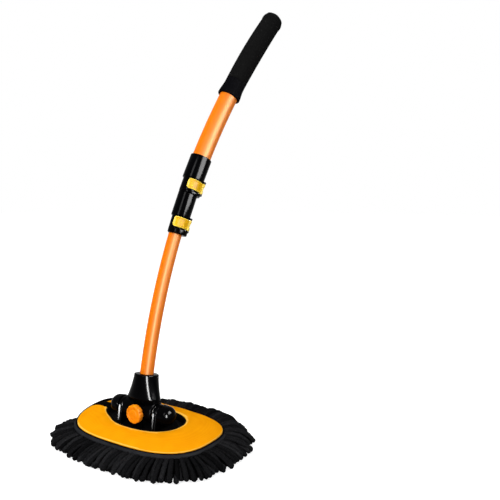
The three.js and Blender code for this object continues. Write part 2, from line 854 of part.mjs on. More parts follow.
const atLock = (geometry) => alongFront(geometry).translate(knobX, pivotY, pivotHeight);

function lockKnob() {
  const points = knobLobes * pointsPerLobe;
  const outline = new THREE.Shape(Array.from({ length: points }, (_, i) => {
    const angle = (2 * Math.PI * i) / points;
    const radius = knobRadius - knobBevel - lobeDepth * (1 - Math.cos(knobLobes * angle)) / 2;
    return new THREE.Vector2(radius * Math.cos(angle), radius * Math.sin(angle));
  }));
  const disc = new THREE.ExtrudeGeometry(outline, {
    depth: knobThickness - 2 * knobBevel,
    bevelThickness: knobBevel,
    bevelSize: knobBevel,
    bevelSegments: 1,
  }).translate(0, 0, knobBack + knobBevel);
  const recess = cylinder(bossRadius + seatGap, knobBack - cutOverrun, knobSeat);
  const bore = cylinder(lockScrewRadius + seatGap, knobBack, knobSeat + lockScrewBite + seatGap,
    smallSegments);
  const dish = revolveRing([
    [knobHubRadius, knobFront + cutOverrun],
    [knobHubRadius, knobFront - knobDishDepth],
    [knobDishRadius - knobDishDepth, knobFront - knobDishDepth],
    [knobDishRadius, knobFront],
    [knobDishRadius, knobFront + cutOverrun],
  ]);
  return cut(disc, recess, bore, dish);
}

function brakeShoe() {
  const pad = atLock(cylinder(shoeRadius, barrelRadius / 2, shoeBack, smallSegments));
  const barrel = atPivot(alongX(cylinder(shoeFace, -barrelHalfLength, barrelHalfLength)));
  return cut(pad, barrel);
}

place('lock_knob', atLock(lockKnob()), orangePlastic);
place('lock_screw', atLock(cylinder(lockScrewRadius, shoeBack + seatGap, knobSeat + lockScrewBite,
  smallSegments)), steel);
place('brake_shoe', brakeShoe(), whitePlastic);

// Handle socket: a barrel on the pivot with a skirt that narrows upwards to the tube

// Bends a body made along straight Z onto the pole's arc.
function bent(geometry) {
  const points = geometry.attributes.position;
  for (let i = 0; i < points.count; i += 1) {
    const angle = points.getZ(i) / bendRadius;
    const radius = bendRadius - points.getX(i);
    points.setXYZ(i, bendRadius - radius * Math.cos(angle), points.getY(i),
      arcStart + radius * Math.sin(angle));
  }
  return geometry;
}

function tube(radius, low, high) {
  const section = new THREE.Shape().absarc(0, 0, radius, 0, 2 * Math.PI);
  section.holes.push(new THREE.Path().absarc(0, 0, radius - tubeWall, 0, 2 * Math.PI));
  return new THREE.ExtrudeGeometry(section, {
    depth: high - low,
    steps: Math.ceil((high - low) / tubeStep),
    curveSegments: roundSegments / 2,
    bevelEnabled: false,
  }).translate(0, 0, low);
}

const socketScrew = {
  direction: (geometry) => geometry.rotateX(-Math.PI / 2).translate(0, 0, socketScrewHeight),
  tip: lowerTubeRadius - tubeWall - socketScrewReach,
  seat: lowerTubeRadius + socketScrewStand,
};

function handleSocket() {
  const blend = (from, to, share) => from + (to - from) * share;
  const ring = (halfLength, halfDepth, height) => oval(halfLength, halfDepth, roundPower, height);
  const skirtSteps = 4;
  const rings = [
    ring(barrelHalfLength, neckDepth, 0),
    ring(barrelHalfLength, neckDepth, neckHeight),
    ring(barrelHalfLength, skirtDepth, skirtHeight),
  ];
  for (let i = 1; i <= skirtSteps; i += 1) {
    const share = i / skirtSteps;
    const ease = 1 - (1 - share) ** skirtPower;
    rings.push(ring(blend(barrelHalfLength, socketTopRadius, ease),
      blend(skirtDepth, socketTopRadius, ease),
      blend(skirtHeight, socketTop - socketChamfer, share)));
  }
  rings.push(ring(socketTopRadius - socketChamfer, socketTopRadius - socketChamfer, socketTop));
  const barrel = alongX(cylinder(barrelRadius, -barrelHalfLength, barrelHalfLength));
  const boltBore = alongX(cylinder(boltRadius + seatGap, -barrelHalfLength - cutOverrun,
    barrelHalfLength + cutOverrun, smallSegments));
  const tubeBore = bent(cylinder(lowerTubeRadius + seatGap, -tubeSink - seatGap,
    socketTop - arcStart + cutOverrun)).rotateZ(bendAzimuth);
  const screwBore = socketScrew.direction(cylinder(screwShankRadius + seatGap, 0,
    socketTopRadius + cutOverrun, smallSegments));
  const screwSeat = socketScrew.direction(cylinder(screwHeadRadius + seatGap, socketScrew.seat,
    skirtDepth + cutOverrun, smallSegments));
  return cut(join(loft(rings), barrel, ...drums(0)), boltBore, tubeBore, screwBore, screwSeat);
}

place('handle_socket', handleSocket(), glossBlack, joint);

const socketScrewBody = revolve([
  [0, socketScrew.tip],
  [screwShankRadius, socketScrew.tip],
  [screwShankRadius, socketScrew.seat + seatGap],
  [screwHeadRadius, socketScrew.seat + seatGap],
  [screwHeadRadius, socketScrew.seat + seatGap + screwHeadHeight],
  [0, socketScrew.seat + seatGap + screwHeadHeight],
], smallSegments);
place('socket_screw', socketScrew.direction(socketScrewBody), steel, joint);

// Tubes and the bushes that guide them

const lowerBore = lowerTubeRadius - tubeWall;
const screwHole = socketScrew.direction(cylinder(screwShankRadius + seatGap, 0,
  socketTopRadius, smallSegments)).rotateZ(-bendAzimuth);
place('lower_tube', cut(bent(tube(lowerTubeRadius, -tubeSink, lowerTubeTop)), screwHole),
  orangePaint, pole);
place('lower_tube_bush', bent(revolveRing([
  [lowerBore - bushWall, lowerTubeTop - bushStem],
  [lowerBore - seatGap, lowerTubeTop - bushStem],
  [lowerBore - seatGap, lowerTubeTop + seatGap],
  [middleTubeRadius - tubeWall - runningGap, lowerTubeTop + seatGap],
  [middleTubeRadius - tubeWall - runningGap, lowerTubeTop + bushLip],
  [lowerBore - bushWall, lowerTubeTop + bushLip],
])), whitePlastic, pole);

// Lever clamp: a split collar on the end of one tube, gripping the thinner tube inside it. Its lip
// is shifted towards the hinge.

function clamp(prefix, start, gripped, carried, { lipLength, lipShift, leverStart }) {
  const bore = gripped + runningGap;
  const neckRadius = bore + neckWall;
  const sleeveRadius = carried + seatGap + sleeveWall;
  const lipTop = start + lipLength;
  const neckTop = lipTop + neckLength;
  const sleeveTop = neckTop + sleeveLength;
  const shoulder = neckTop - sleeveWall;
  const lipRadius = neckRadius + lipSpread;
  const leverLow = lipTop + (neckLength - leverHeight) / 2;
  const leverHigh = leverLow + leverHeight;
  const hingeRadius = neckRadius + seatGap + leverWall / 2 + hingeStandOff;
  const atHinge = (geometry) => geometry.translate(
    hingeRadius * Math.cos(hingeAngle), hingeRadius * Math.sin(hingeAngle), 0,
  );

  const lip = revolve([
    [0, start],
    [lipRadius - clampChamfer / 2, start],
    [lipRadius, start + clampChamfer],
    [lipRadius, lipTop - clampChamfer],
    [neckRadius - lipShift, lipTop],
    [0, lipTop],
  ]).translate(lipShift * Math.cos(hingeAngle), lipShift * Math.sin(hingeAngle), 0);
  const shell = revolveRing([
    [bore, start],
    [neckRadius - clampChamfer / 2, start],
    [neckRadius, start + clampChamfer],
    [neckRadius, neckTop],
    [sleeveRadius - clampChamfer / 2, neckTop],
    [sleeveRadius, neckTop + clampChamfer],
    [sleeveRadius, sleeveTop - clampChamfer],
    [sleeveRadius - clampChamfer, sleeveTop],
    [carried + seatGap, sleeveTop],
    [carried + seatGap, shoulder],
    [bore, shoulder],
  ]);
  const ears = [
    cylinder(knuckleRadius, leverLow - seatGap - earLength, leverLow - seatGap, smallSegments),
    cylinder(knuckleRadius, leverHigh + seatGap, leverHigh + seatGap + earLength, smallSegments),
  ].map(atHinge);
  const pinBore = atHinge(cylinder(hingePinRadius + seatGap, leverLow - seatGap - earLength,
    leverHigh + seatGap + earLength + cutOverrun, smallSegments));
  const split = box(0, lipRadius + cutOverrun, -splitWidth / 2, splitWidth / 2,
    start - cutOverrun, neckTop - sleeveWall - clampChamfer)
    .rotateZ(splitAngle);
  const collar = cut(join(shell, lip, ...ears), pinBore, split,
    cylinder(bore, start - cutOverrun, shoulder + seatGap),
    cylinder(carried + seatGap, shoulder, sleeveTop + cutOverrun));
  place(`${prefix}_clamp_collar`, bent(collar), glossBlack, pole);

  // The lever wraps the neck from its hinge to its free end.
  const inner = neckRadius + seatGap;
  const outer = inner + leverWall;
  const band = new THREE.Shape();
  band.absarc(0, 0, outer, leverStart, hingeAngle);
  band.absarc(0, 0, inner, hingeAngle, leverStart, true);
  const extrusion = { depth: leverHeight, curveSegments: arcPieces, bevelEnabled: false };
  const plate = new THREE.ExtrudeGeometry(band, extrusion).translate(0, 0, leverLow);
  const knuckle = atHinge(cylinder(knuckleRadius, leverLow, leverHigh, smallSegments));
  const neckRoom = cylinder(inner, leverLow - cutOverrun, leverHigh + cutOverrun);
  const bored = cut(join(plate, knuckle), neckRoom, pinBore);
  const face = leverFace(outer, leverLow, leverHigh, leverStart);
  place(`${prefix}_clamp_lever`, bent(common(bored, face)), yellowPlastic, pole);
  place(`${prefix}_lever_pin`, bent(atHinge(cylinder(hingePinRadius, leverLow - earLength,
    leverHigh + earLength, smallSegments))), steel, pole);
  return { shoulder, sleeveTop };
}

// The lever's face seen from its middle: a plate with rounded corners at the free end.
function leverFace(outer, low, high, leverStart) {
  const middle = (leverStart + hingeAngle) / 2;
  const half = outer * Math.sin((hingeAngle - leverStart) / 2) + leverWall;
  const free = -outer * Math.sin((hingeAngle - leverStart) / 2);
  const face = new THREE.Shape();
  face.moveTo(half + knuckleRadius, low - seatGap);
  face.lineTo(half + knuckleRadius, high + seatGap);
  face.lineTo(free + leverCorner, high + seatGap);
  face.absarc(free + leverCorner, high + seatGap - leverCorner, leverCorner, Math.PI / 2, Math.PI);
  face.absarc(free + leverCorner, low - seatGap + leverCorner, leverCorner, Math.PI, 1.5 * Math.PI);
  const prism = new THREE.ExtrudeGeometry(face, {
    depth: 2 * outer, curveSegments: arcPieces / 2, bevelEnabled: false,
  });
  return prism.rotateX(Math.PI / 2).rotateZ(middle + Math.PI / 2);
}

const lowerClamp = clamp('lower', lowerClampStart, lowerTubeRadius, middleTubeRadius, {
  lipLength: lowerLipLength, lipShift: lowerLipShift, leverStart: lowerLeverStart,
});
const upperClamp = clamp('upper', lowerClamp.sleeveTop + clampGap, middleTubeRadius, upperTubeRadius, {
  lipLength: upperLipLength, lipShift: upperLipShift, leverStart: upperLeverStart,
});

place('middle_tube', bent(tube(middleTubeRadius, lowerClamp.shoulder + seatGap, middleTubeTop)),
  orangePaint, pole);
place('middle_tube_bush', bent(revolveRing([
  [lowerTubeRadius + runningGap, middleTubeTop + seatGap],
  [upperTubeRadius - tubeWall - runningGap, middleTubeTop + seatGap],
  [upperTubeRadius - tubeWall - runningGap, middleTubeTop + bushLip],
  [lowerTubeRadius + runningGap, middleTubeTop + bushLip],
])), whitePlastic, pole);
place('upper_tube', bent(tube(upperTubeRadius, upperClamp.shoulder + seatGap, upperTubeTop)),
  orangePaint, pole);

// Grip: a flared collar, a foam sleeve and a domed end cap over the tube's end

const gripBore = upperTubeRadius + seatGap;
const sleeveStart = gripStart + gripCollarLength + seatGap;
place('grip_collar', bent(revolveRing([
  [gripBore, gripStart],
  [gripCollarRadius - clampChamfer, gripStart],
  [gripCollarRadius, gripStart + clampChamfer],
  [gripCollarRadius - collarTaperShare * (gripCollarRadius - gripWaist),
    gripStart + gripCollarLength * collarNeckShare],
  [gripWaist, gripStart + gripCollarLength],
  [gripBore, gripStart + gripCollarLength],
])), mattBlack, pole);

function gripSleeve() {
  const steps = 4;
  const outline = Array.from({ length: steps + 1 }, (_, i) => {
    const share = i / steps;
    const belly = Math.sin(Math.PI * share);
    return [gripWaist + (gripRadius - gripWaist) * belly,
      sleeveStart + (gripEnd - sleeveStart) * share];
  });
  const bore = outline.map(([, height]) => [gripBore, height]).toReversed();
  return revolveRing([...outline, ...bore]);
}

place('grip_sleeve', bent(gripSleeve()), foamBlack, pole);

function gripEndCap() {
  const start = gripEnd + seatGap;
  const domeSteps = 4;
  const rise = endCapLength * endCapDomeShare;
  const shoulderHeight = start + endCapLength - rise;
  const dome = Array.from({ length: domeSteps + 1 }, (_, i) => {
    const angle = (Math.PI / 2) * (i / domeSteps);
    return [capBulge * Math.cos(angle), shoulderHeight + rise * Math.sin(angle)];
  });
  return revolve([
    ...dome.toReversed(),
    [gripWaist, start],
    [gripBore, start],
    [gripBore, upperTubeTop + seatGap],
    [0, upperTubeTop + seatGap],
  ]);
}

place('grip_end_cap', bent(gripEndCap()), mattBlack, pole);

export default part;
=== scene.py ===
# Car wash brush: a chenille wash pad with a padded cover, a tilting joint with a lock knob, and a
# curved pole of three tubes with two lever clamps and a foam grip. The pieces' lengths are in
# millimetres here and become metres when a mesh is made. The studio is in metres.
import math
import bmesh
import bpy
import numpy as np
from mathutils import Matrix, Vector


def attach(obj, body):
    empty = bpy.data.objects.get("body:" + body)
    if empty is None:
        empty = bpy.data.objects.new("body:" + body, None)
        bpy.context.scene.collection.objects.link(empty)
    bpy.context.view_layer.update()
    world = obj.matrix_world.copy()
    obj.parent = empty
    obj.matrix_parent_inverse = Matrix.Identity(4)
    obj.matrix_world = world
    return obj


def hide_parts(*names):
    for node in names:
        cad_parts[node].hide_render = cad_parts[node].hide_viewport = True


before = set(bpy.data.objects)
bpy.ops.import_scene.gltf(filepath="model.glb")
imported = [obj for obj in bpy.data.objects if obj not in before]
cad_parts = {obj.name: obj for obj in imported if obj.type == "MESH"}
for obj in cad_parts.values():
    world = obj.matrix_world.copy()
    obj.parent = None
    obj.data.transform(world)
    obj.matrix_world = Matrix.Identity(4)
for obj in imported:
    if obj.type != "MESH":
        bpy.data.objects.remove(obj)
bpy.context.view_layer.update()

# Chenille noodles
# Soft microfibre noodles, each a twisted core with a short thick pile. They are tufted into a
# backing in four quarters, stand under the pad and hang out in three rows all round its edge.
mm = 0.001
pad_half_length, pad_half_width, pad_power = 108, 69, 2.8
backing_low, backing_top = 14, 16
noodle_radius, inner_noodle_radius, tip_share, tip_steps = 3.5, 3.4, 0.085, 5
strand_height, pile_height, strand_turn = 0.07, 0.06, 0.9
droop_cut, spread_gain, stand_rise, hang_drop = 0.62, 0.13, 9.5, 5.0
stray_lift, stray_lean, floor_room = 0.7, 1.5, 1.25
under_pitch, under_radius, under_root, under_tip = 8.8, 4.0, 15.2, 0.6
noodle_wander = np.random.default_rng(11)


def tint(red, green, blue):
    """A colour as it is seen, from 0 to 255, turned into the shader's linear values."""
    seen = np.array([red, green, blue]) / 255
    linear = np.where(seen <= 0.04045, seen / 12.92, ((seen + 0.055) / 1.055) ** 2.4)
    return (*[float(part) for part in linear], 1.0)


def oval_radius(angle, half_length, half_width, power):
    """Distance from the middle to a rounded oval in one direction."""
    along = np.abs(np.cos(angle) / half_length) ** power
    across = np.abs(np.sin(angle) / half_width) ** power
    return (along + across) ** (-1 / power)


def polar(radius, angle):
    """Points (x, y) at distances and bearings from the middle."""
    return np.stack([radius * np.cos(angle), radius * np.sin(angle)], -1)


def at_height(points, height):
    """Flat points (x, y) lifted to a height."""
    return np.column_stack([points, np.full(len(points), height)])


def all_round(count):
    """Even bearings all round."""
    return np.linspace(0, 2 * np.pi, count, endpoint=False)


def pad_radius(angle, inset=0.0):
    """Distance from the middle to the pad's edge, or to a line inside it."""
    return oval_radius(angle, pad_half_length - inset, pad_half_width - inset, pad_power)


def edge_places(count, shift):
    """Evenly spaced places along the pad's edge, and the way out from each."""
    turn = np.linspace(0, 2 * np.pi, 2401)
    steps = np.linalg.norm(np.diff(polar(pad_radius(turn), turn), axis=0), axis=1)
    walked = np.concatenate([[0], np.cumsum(steps)])
    angle = np.interp((np.arange(count) + shift) / count * walked[-1], walked, turn)
    place = polar(pad_radius(angle), angle)
    half_sizes = np.array([pad_half_length, pad_half_width])
    way = np.sign(place) * np.abs(place / half_sizes) ** (pad_power - 1) / half_sizes
    return place, way / np.linalg.norm(way, axis=1, keepdims=True)


def skin(rings, looped=False):
    """Points and faces of a surface through rings of equal length, closed at both ends."""
    count, around = rings.shape[:2]
    faces = []
    for i in range(count if looped else count - 1):
        low, high = i * around, ((i + 1) % count) * around
        for j in range(around):
            k = (j + 1) % around
            faces.append((low + j, low + k, high + k, high + j))
    if not looped:
        last = (count - 1) * around
        faces.append(tuple(range(around)))
        faces.append(tuple(range(last, last + around)))
    return rings.reshape(-1, 3), faces


def together(*skins):
    """Several surfaces as one list of points and faces."""
    points, faces, base = [], [], 0
    for some_points, some_faces in skins:
        points.append(some_points)
        faces += [tuple(base + corner for corner in face) for face in some_faces]
        base += len(some_points)
    return np.concatenate(points), faces


def in_scene(name, data):
    """A new object in the scene, from its mesh, lamp or camera."""
    thing = bpy.data.objects.new(name, data)
    bpy.context.scene.collection.objects.link(thing)
    return thing


def make_piece(name, surface, material, body, node, sharp=38):
    """A piece from points in millimetres, which rides on a body and stands for a node."""
    points, faces = surface
    mesh = bpy.data.meshes.new(name)
    shell = bmesh.new()
    corners = [shell.verts.new(point) for point in (np.asarray(points) * mm).tolist()]
    for face in faces:
        shell.faces.new([corners[corner] for corner in face])
    bmesh.ops.remove_doubles(shell, verts=shell.verts, dist=1e-6)
    bmesh.ops.recalc_face_normals(shell, faces=shell.faces)
    shell.to_mesh(mesh)
    shell.free()
    mesh.materials.append(material)
    mesh.shade_smooth()
    mesh.set_sharp_from_angle(angle=math.radians(sharp))
    piece = in_scene(name, mesh)
    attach(piece, body)
    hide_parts(node)
    return piece


def noodle_reach(steps):
    """Places along a noodle from its root, 0, to its tip, 1, closer together at the round tip."""
    tip = 1 - tip_share * (1 - np.sin(np.linspace(0, np.pi / 2, tip_steps)))
    return np.concatenate([np.linspace(0, tip[0], steps - tip_steps + 1)[:-1], tip])


def noodles(paths, sides, radius, around=11):
    """Fuzzy noodles along paths[n][t], each with its own lumps, closed at both ends."""
    count, steps = paths.shape[:2]
    length = np.linalg.norm(np.diff(paths, axis=1), axis=2).sum(axis=1).mean()
    along = np.gradient(paths, axis=1)
    along /= np.linalg.norm(along, axis=2, keepdims=True)
    side = sides[:, None, :] - along * np.sum(along * sides[:, None, :], axis=2, keepdims=True)
    side /= np.linalg.norm(side, axis=2, keepdims=True)
    other = np.cross(along, side)
    turn = all_round(around)
    reach = np.linspace(0, 1, steps)
    twist = noodle_wander.uniform(0, 2 * np.pi, (count, 1, 1))
    winding = 2 * turn + length * strand_turn * reach[:, None] + twist
    lumps = 1 + strand_height * np.sin(winding)
    lumps += noodle_wander.normal(0, pile_height, (count, steps, around))
    rest = np.clip((1 - noodle_reach(steps)) * length / radius, 0, 1)
    ends = np.sqrt(1 - (1 - rest) ** 2)
    ends[0] = 0.0
    girth = radius * noodle_wander.uniform(0.86, 1.1, (count, 1, 1)) * lumps * ends[:, None]
    return paths[:, :, None] + girth[..., None] * (
        np.cos(turn)[:, None] * side[:, :, None] + np.sin(turn)[:, None] * other[:, :, None])


def fringe(count, shift, route, radius, sway):
    """One row of noodles round the edge, from a route of (way out, height) control points."""
    place, way = edge_places(count, shift)
    t = noodle_reach(18)
    a, b, c, d = np.array(route, float)[..., None]
    reach, level = ((1 - t) ** 3 * a + 3 * (1 - t) ** 2 * t * b + 3 * (1 - t) * t * t * c
                    + t ** 3 * d)
    # By bearing in degrees from the right end: short and low at the left end and along its sides,
    # longer at the right end, and the outer row lifted along the back.
    bearing = np.degrees(np.arctan2(place[:, 1], place[:, 0]))
    droops = np.interp(bearing, [138, 152, 178, 180], [0, 1, 1, 0.8])
    droops += np.interp(bearing, [-180, -168], [0.8, 0])
    drops = np.where(bearing < 0, np.interp(bearing, [-165, -130], [1, 0]),
                     np.interp(bearing, [135, 155], [0, 1]))
    spreads = np.interp(bearing, [-60, -20, 60, 90], [0, 1, 1, 0.3])
    stands = np.interp(bearing, [10, 45, 120, 140], [0, 1, 1, 0])
    length = noodle_wander.uniform(0.87, 1.07, count)
    length = length * (1 - droop_cut * droops + spread_gain * spreads)
    out = reach * np.where(reach > 0, length[:, None], 1)
    lift = noodle_wander.normal(0, stray_lift, count)[:, None]
    lift = lift + stand_rise * stands[:, None] * (radius == noodle_radius)
    height = level + lift * np.sin(np.pi * t ** 0.8)
    height -= hang_drop * drops[:, None] * np.sin(np.pi * t ** 0.7)
    swing = noodle_wander.normal(0, sway, count)[:, None] * t ** 1.6
    across = np.stack([-way[:, 1], way[:, 0]], -1)
    flat = place[:, None] + way[:, None] * out[..., None] + across[:, None] * swing[..., None]
    paths = np.dstack([flat, np.maximum(height, radius * floor_room)])
    return noodles(paths, at_height(across, 0), radius)


def underside():
    """Noodles that stand under the pad on the floor, in staggered rows."""
    columns = np.arange(-12, 13)
    x, y = np.meshgrid(columns * under_pitch, columns * under_pitch)
    x = x + (np.arange(len(columns)) % 2)[:, None] * under_pitch / 2
    x, y = x.ravel(), y.ravel()
    inside = np.hypot(x, y) < pad_radius(np.arctan2(y, x), 7)
    x, y = x[inside], y[inside]
    t = noodle_reach(10)
    lean = noodle_wander.normal(0, stray_lean, (len(x), 2))
    paths = np.zeros((len(x), len(t), 3))
    paths[..., 0] = x[:, None] + lean[:, :1] * t ** 1.5
    paths[..., 1] = y[:, None] + lean[:, 1:] * t ** 1.5
    paths[..., 2] = under_root - (under_root - under_tip) * t
    return noodles(paths, np.tile([1.0, 0.0, 0.0], (len(x), 1)), under_radius)


def new_group(name, given, given_back):
    """A shader group with named inputs and outputs."""
    group = bpy.data.node_groups.new(name, "ShaderNodeTree")
    for side, labels in (("INPUT", given), ("OUTPUT", given_back)):
        for label in labels:
            kind = "Color" if label in ("Dark", "Light", "Color") else "Float"
            group.interface.new_socket(label, in_out=side, socket_type="NodeSocket" + kind)
    nodes = group.nodes
    return group, nodes, group.links, nodes.new("NodeGroupInput"), nodes.new("NodeGroupOutput")


def blended(tree, kind, share, low, high, result):
    """Feeds a result with a mix of two numbers, FLOAT, or two colours, RGBA."""
    mix = tree.nodes.new("ShaderNodeMix")
    mix.data_type = kind
    for source, label in ((share, "Factor"), (low, "A"), (high, "B")):
        tree.links.new(source, mix.inputs[label])
    tree.links.new(mix.outputs["Result"], result)


def grain_group():
    """Fine moulded or fibrous grain: two tones and a height that wander over the surface."""
    group, nodes, links, given, given_back = new_group(
        "fine_grain", ("Scale", "Detail", "Dark", "Light", "Smooth", "Rough"),
        ("Color", "Roughness", "Height"))
    place, noise = nodes.new("ShaderNodeTexCoord"), nodes.new("ShaderNodeTexNoise")
    links.new(place.outputs["Object"], noise.inputs["Vector"])
    links.new(given.outputs["Scale"], noise.inputs["Scale"])
    links.new(given.outputs["Detail"], noise.inputs["Detail"])
    share = noise.outputs["Fac"]
    for kind, low, high, result in (("RGBA", "Dark", "Light", "Color"),
                                    ("FLOAT", "Smooth", "Rough", "Roughness")):
        blended(group, kind, share, given.outputs[low], given.outputs[high],
                given_back.inputs[result])
    links.new(share, given_back.inputs["Height"])
    return group


fine_grain = grain_group()


def patterned(name, pattern, values, bump, sockets):
    """A material whose tone and fine bumps, so many millimetres high, come from a pattern."""
    material = bpy.data.materials.new(name)
    material.use_nodes = True
    nodes, links = material.node_tree.nodes, material.node_tree.links
    shader = nodes["Principled BSDF"]
    surface, relief = nodes.new("ShaderNodeGroup"), nodes.new("ShaderNodeBump")
    surface.node_tree = pattern
    for label, value in values.items():
        surface.inputs[label].default_value = value
    relief.inputs["Distance"].default_value = bump * mm
    relief.inputs["Strength"].default_value = 1.0
    links.new(surface.outputs["Color"], shader.inputs["Base Color"])
    if "Roughness" in surface.outputs:
        links.new(surface.outputs["Roughness"], shader.inputs["Roughness"])
    links.new(surface.outputs["Height"], relief.inputs["Height"])
    links.new(relief.outputs["Normal"], shader.inputs["Normal"])
    for label, value in sockets.items():
        shader.inputs[label.replace("_", " ")].default_value = value
    return material


def grained(name, dark, light, scale, smooth, rough, bump, detail=4.0, **sockets):
    """A material whose tone, gloss and fine bumps come from the grain."""
    values = {"Scale": scale, "Detail": detail, "Dark": dark, "Light": light, "Smooth": smooth,
              "Rough": rough}
    return patterned(name, fine_grain, values, bump, sockets)


def darkened(material, amount, value):
    """Multiplies a material's colour by a value that changes over its surface."""
    nodes, links = material.node_tree.nodes, material.node_tree.links
    colour, mix = nodes["Principled BSDF"].inputs["Base Color"], nodes.new("ShaderNodeMix")
    mix.data_type, mix.blend_type = "RGBA", "MULTIPLY"
    mix.inputs["Factor"].default_value = amount
    links.new(colour.links[0].from_socket, mix.inputs["A"])
    links.new(value, mix.inputs["B"])
    links.new(mix.outputs["Result"], colour)


chenille = grained("chenille", tint(3, 3, 4), tint(50, 50, 52), 620, 0.9, 1.0, 1.3, 5.0,
                   Specular_IOR_Level=0.0)
# Each noodle has its own tone at random. Painted shade: an ambient occlusion node darkens the
# colour in the gaps between the noodles.
noodle_contrast, gap_shade_strength, gap_shade_reach, gap_shade_darkest, gap_shade_clear = 0.85, 0.9, 5.0, 0.3, 0.8
one_noodle = chenille.node_tree.nodes.new("ShaderNodeNewGeometry")
darkened(chenille, noodle_contrast, one_noodle.outputs["Random Per Island"])
gap_shade_occlusion = chenille.node_tree.nodes.new("ShaderNodeAmbientOcclusion")
gap_shade_occlusion.samples = 8
gap_shade_occlusion.inputs["Distance"].default_value = gap_shade_reach * mm
painted_gap_shade = chenille.node_tree.nodes.new("ShaderNodeMapRange")
painted_gap_shade.inputs["From Min"].default_value = gap_shade_darkest
painted_gap_shade.inputs["From Max"].default_value = gap_shade_clear
chenille.node_tree.links.new(gap_shade_occlusion.outputs["AO"], painted_gap_shade.inputs["Value"])
darkened(chenille, gap_shade_strength, painted_gap_shade.outputs["Result"])

noodle_rows = [
    fringe(110, 0.2, [(-6, 14.2), (14, 16.2), (27, 12.5), (37, 4.2)], noodle_radius, 2.0),
    fringe(110, 0.72, [(-8, 12.8), (10, 12.5), (20, 9.0), (36, 4.0)], inner_noodle_radius, 1.8),
    fringe(104, 0.45, [(-9, 12.0), (4, 10.0), (14, 6.0), (32.5, 4.0)], inner_noodle_radius, 2.4),
    underside(),
]
quarters = (("front_left", -1, -1, 180), ("front_right", 1, -1, 270), ("back_left", -1, 1, 90),
            ("back_right", 1, 1, 0))
quarter_split, backing_inset, backing_gap = 5.6, 0.8, 0.15
for quarter, sign_x, sign_y, first_bearing in quarters:
    skins = []
    for rings in noodle_rows:
        x, y, _ = rings[:, 2].mean(axis=1).T
        mine = ((x > quarter_split) == (sign_x > 0)) & ((y > quarter_split) == (sign_y > 0))
        skins += [skin(one) for one in rings[mine]]
    bearing = np.radians(np.linspace(first_bearing, first_bearing + 90, 40))
    rim = polar(pad_radius(bearing, backing_inset), bearing)
    rim = np.concatenate([rim, [[0.0, 0.0]]]) + np.array([sign_x, sign_y]) * backing_gap
    skins.append(skin(np.array([at_height(rim, backing_low), at_height(rim, backing_top)])))
    make_piece(f"noodles_{quarter}", together(*skins), chenille, "head",
               f"chenille_{quarter}", 60)

# Foam layer
# A thin sheet of closed-cell foam, cut to the pad's outline and glued on the noodles' backing, so
# that the board presses evenly on the car.
foam_low, foam_top = 16.3, 19.3


def eased(corners, steps=4, looped=False):
    """A profile from (u, v, ease) corners, each corner rounded over its ease."""
    line = []
    count = len(corners)
    for i, (u, v, ease) in enumerate(corners):
        here = np.array([u, v], float)
        if ease <= 0 or (not looped and i in (0, count - 1)):
            line.append(here)
            continue
        before = np.array(corners[i - 1][:2], float) - here
        after = np.array(corners[(i + 1) % count][:2], float) - here
        low, high = np.linalg.norm(before), np.linalg.norm(after)
        first = here + before / low * min(ease, low * 0.5)
        last = here + after / high * min(ease, high * 0.5)
        for t in np.linspace(0, 1, steps + 1):
            line.append((1 - t) ** 2 * first + 2 * (1 - t) * t * here + t * t * last)
    return np.array(line)


def oval_rings(profile, half_length, half_width, power, around=120, centre_y=0.0):
    """Rings of a rounded oval from (offset, height) points."""
    angle = all_round(around)
    return np.array([at_height(
        polar(oval_radius(angle, half_length + offset, half_width + offset, power), angle)
        + (0, centre_y), height) for offset, height in profile])


foam = grained("pad_foam", tint(62, 62, 64), tint(88, 88, 90), 900, 0.9, 1.0, 0.12)
foam_profile = eased([(-8, foam_low, 0), (-0.3, foam_low, 0.8), (-0.3, foam_top, 0.8),
                      (-8, foam_top, 0)])
foam_rings = oval_rings(foam_profile, pad_half_length, pad_half_width, pad_power)
foam_sheet = make_piece("foam_layer", skin(foam_rings), foam, "head", "pad_foam")

# Base plate
# A ribbed board, injection moulded in black plastic, that the yoke is screwed to. It lies in the
# cover's pocket, and only its middle shows in the opening.
board_plastic = grained("board_plastic", tint(8, 8, 9), tint(16, 16, 17), 1400, 0.5, 0.65, 0.03,
                        Specular_IOR_Level=0.006)


def dress(node, material):
    """A moulded or turned piece that keeps its own shape gets its finish."""
    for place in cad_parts[node].material_slots:
        place.material = material


dress("base_plate", board_plastic)

# Padded cover
# Orange woven polyester over thin wadding, sewn as a ring round the joint and closed at a slit on
# the left, through which the board goes in.
cover_low, cover_rim, cover_crown, crown_power = 19.6, 22.9, 9.0, 2.8
cover_thickness, slit_half = 5.0, 4.4
opening_half_length, opening_half_width, opening_power = 57, 39, 2.3
keyhole_reach, keyhole_spread, slit_crowding = 21, 0.3, 0.82
far_rim_sink, fuller_left, fuller_rim = 3.2, 3.5, 4.5
slit_droop, wide_puff, narrow_puff = 1.3, 0.22, 0.16


def ramp(value, start, end):
    """How far a value has come from start, 0, to end, 1."""
    return np.clip((value - start) / (end - start), 0, 1)


def cover_top(share):
    """Height of the cover from its outer edge, 0, to its opening, 1."""
    return cover_rim + cover_crown * (1 - (1 - share) ** crown_power)


def mouth_radius(angle):
    """Distance from the middle to the opening's edge, which widens to a keyhole at the slit."""
    keyhole = keyhole_reach * np.exp(-(((np.pi - np.abs(angle)) / keyhole_spread) ** 2))
    return oval_radius(angle, opening_half_length, opening_half_width, opening_power) + keyhole


def turns_round(count):
    """Turns from -1 to 1 between the slit's sides, closer together at the slit."""
    crowding = np.pi / 2 * slit_crowding
    return np.sin(np.linspace(-1, 1, count) * crowding) / np.sin(crowding)


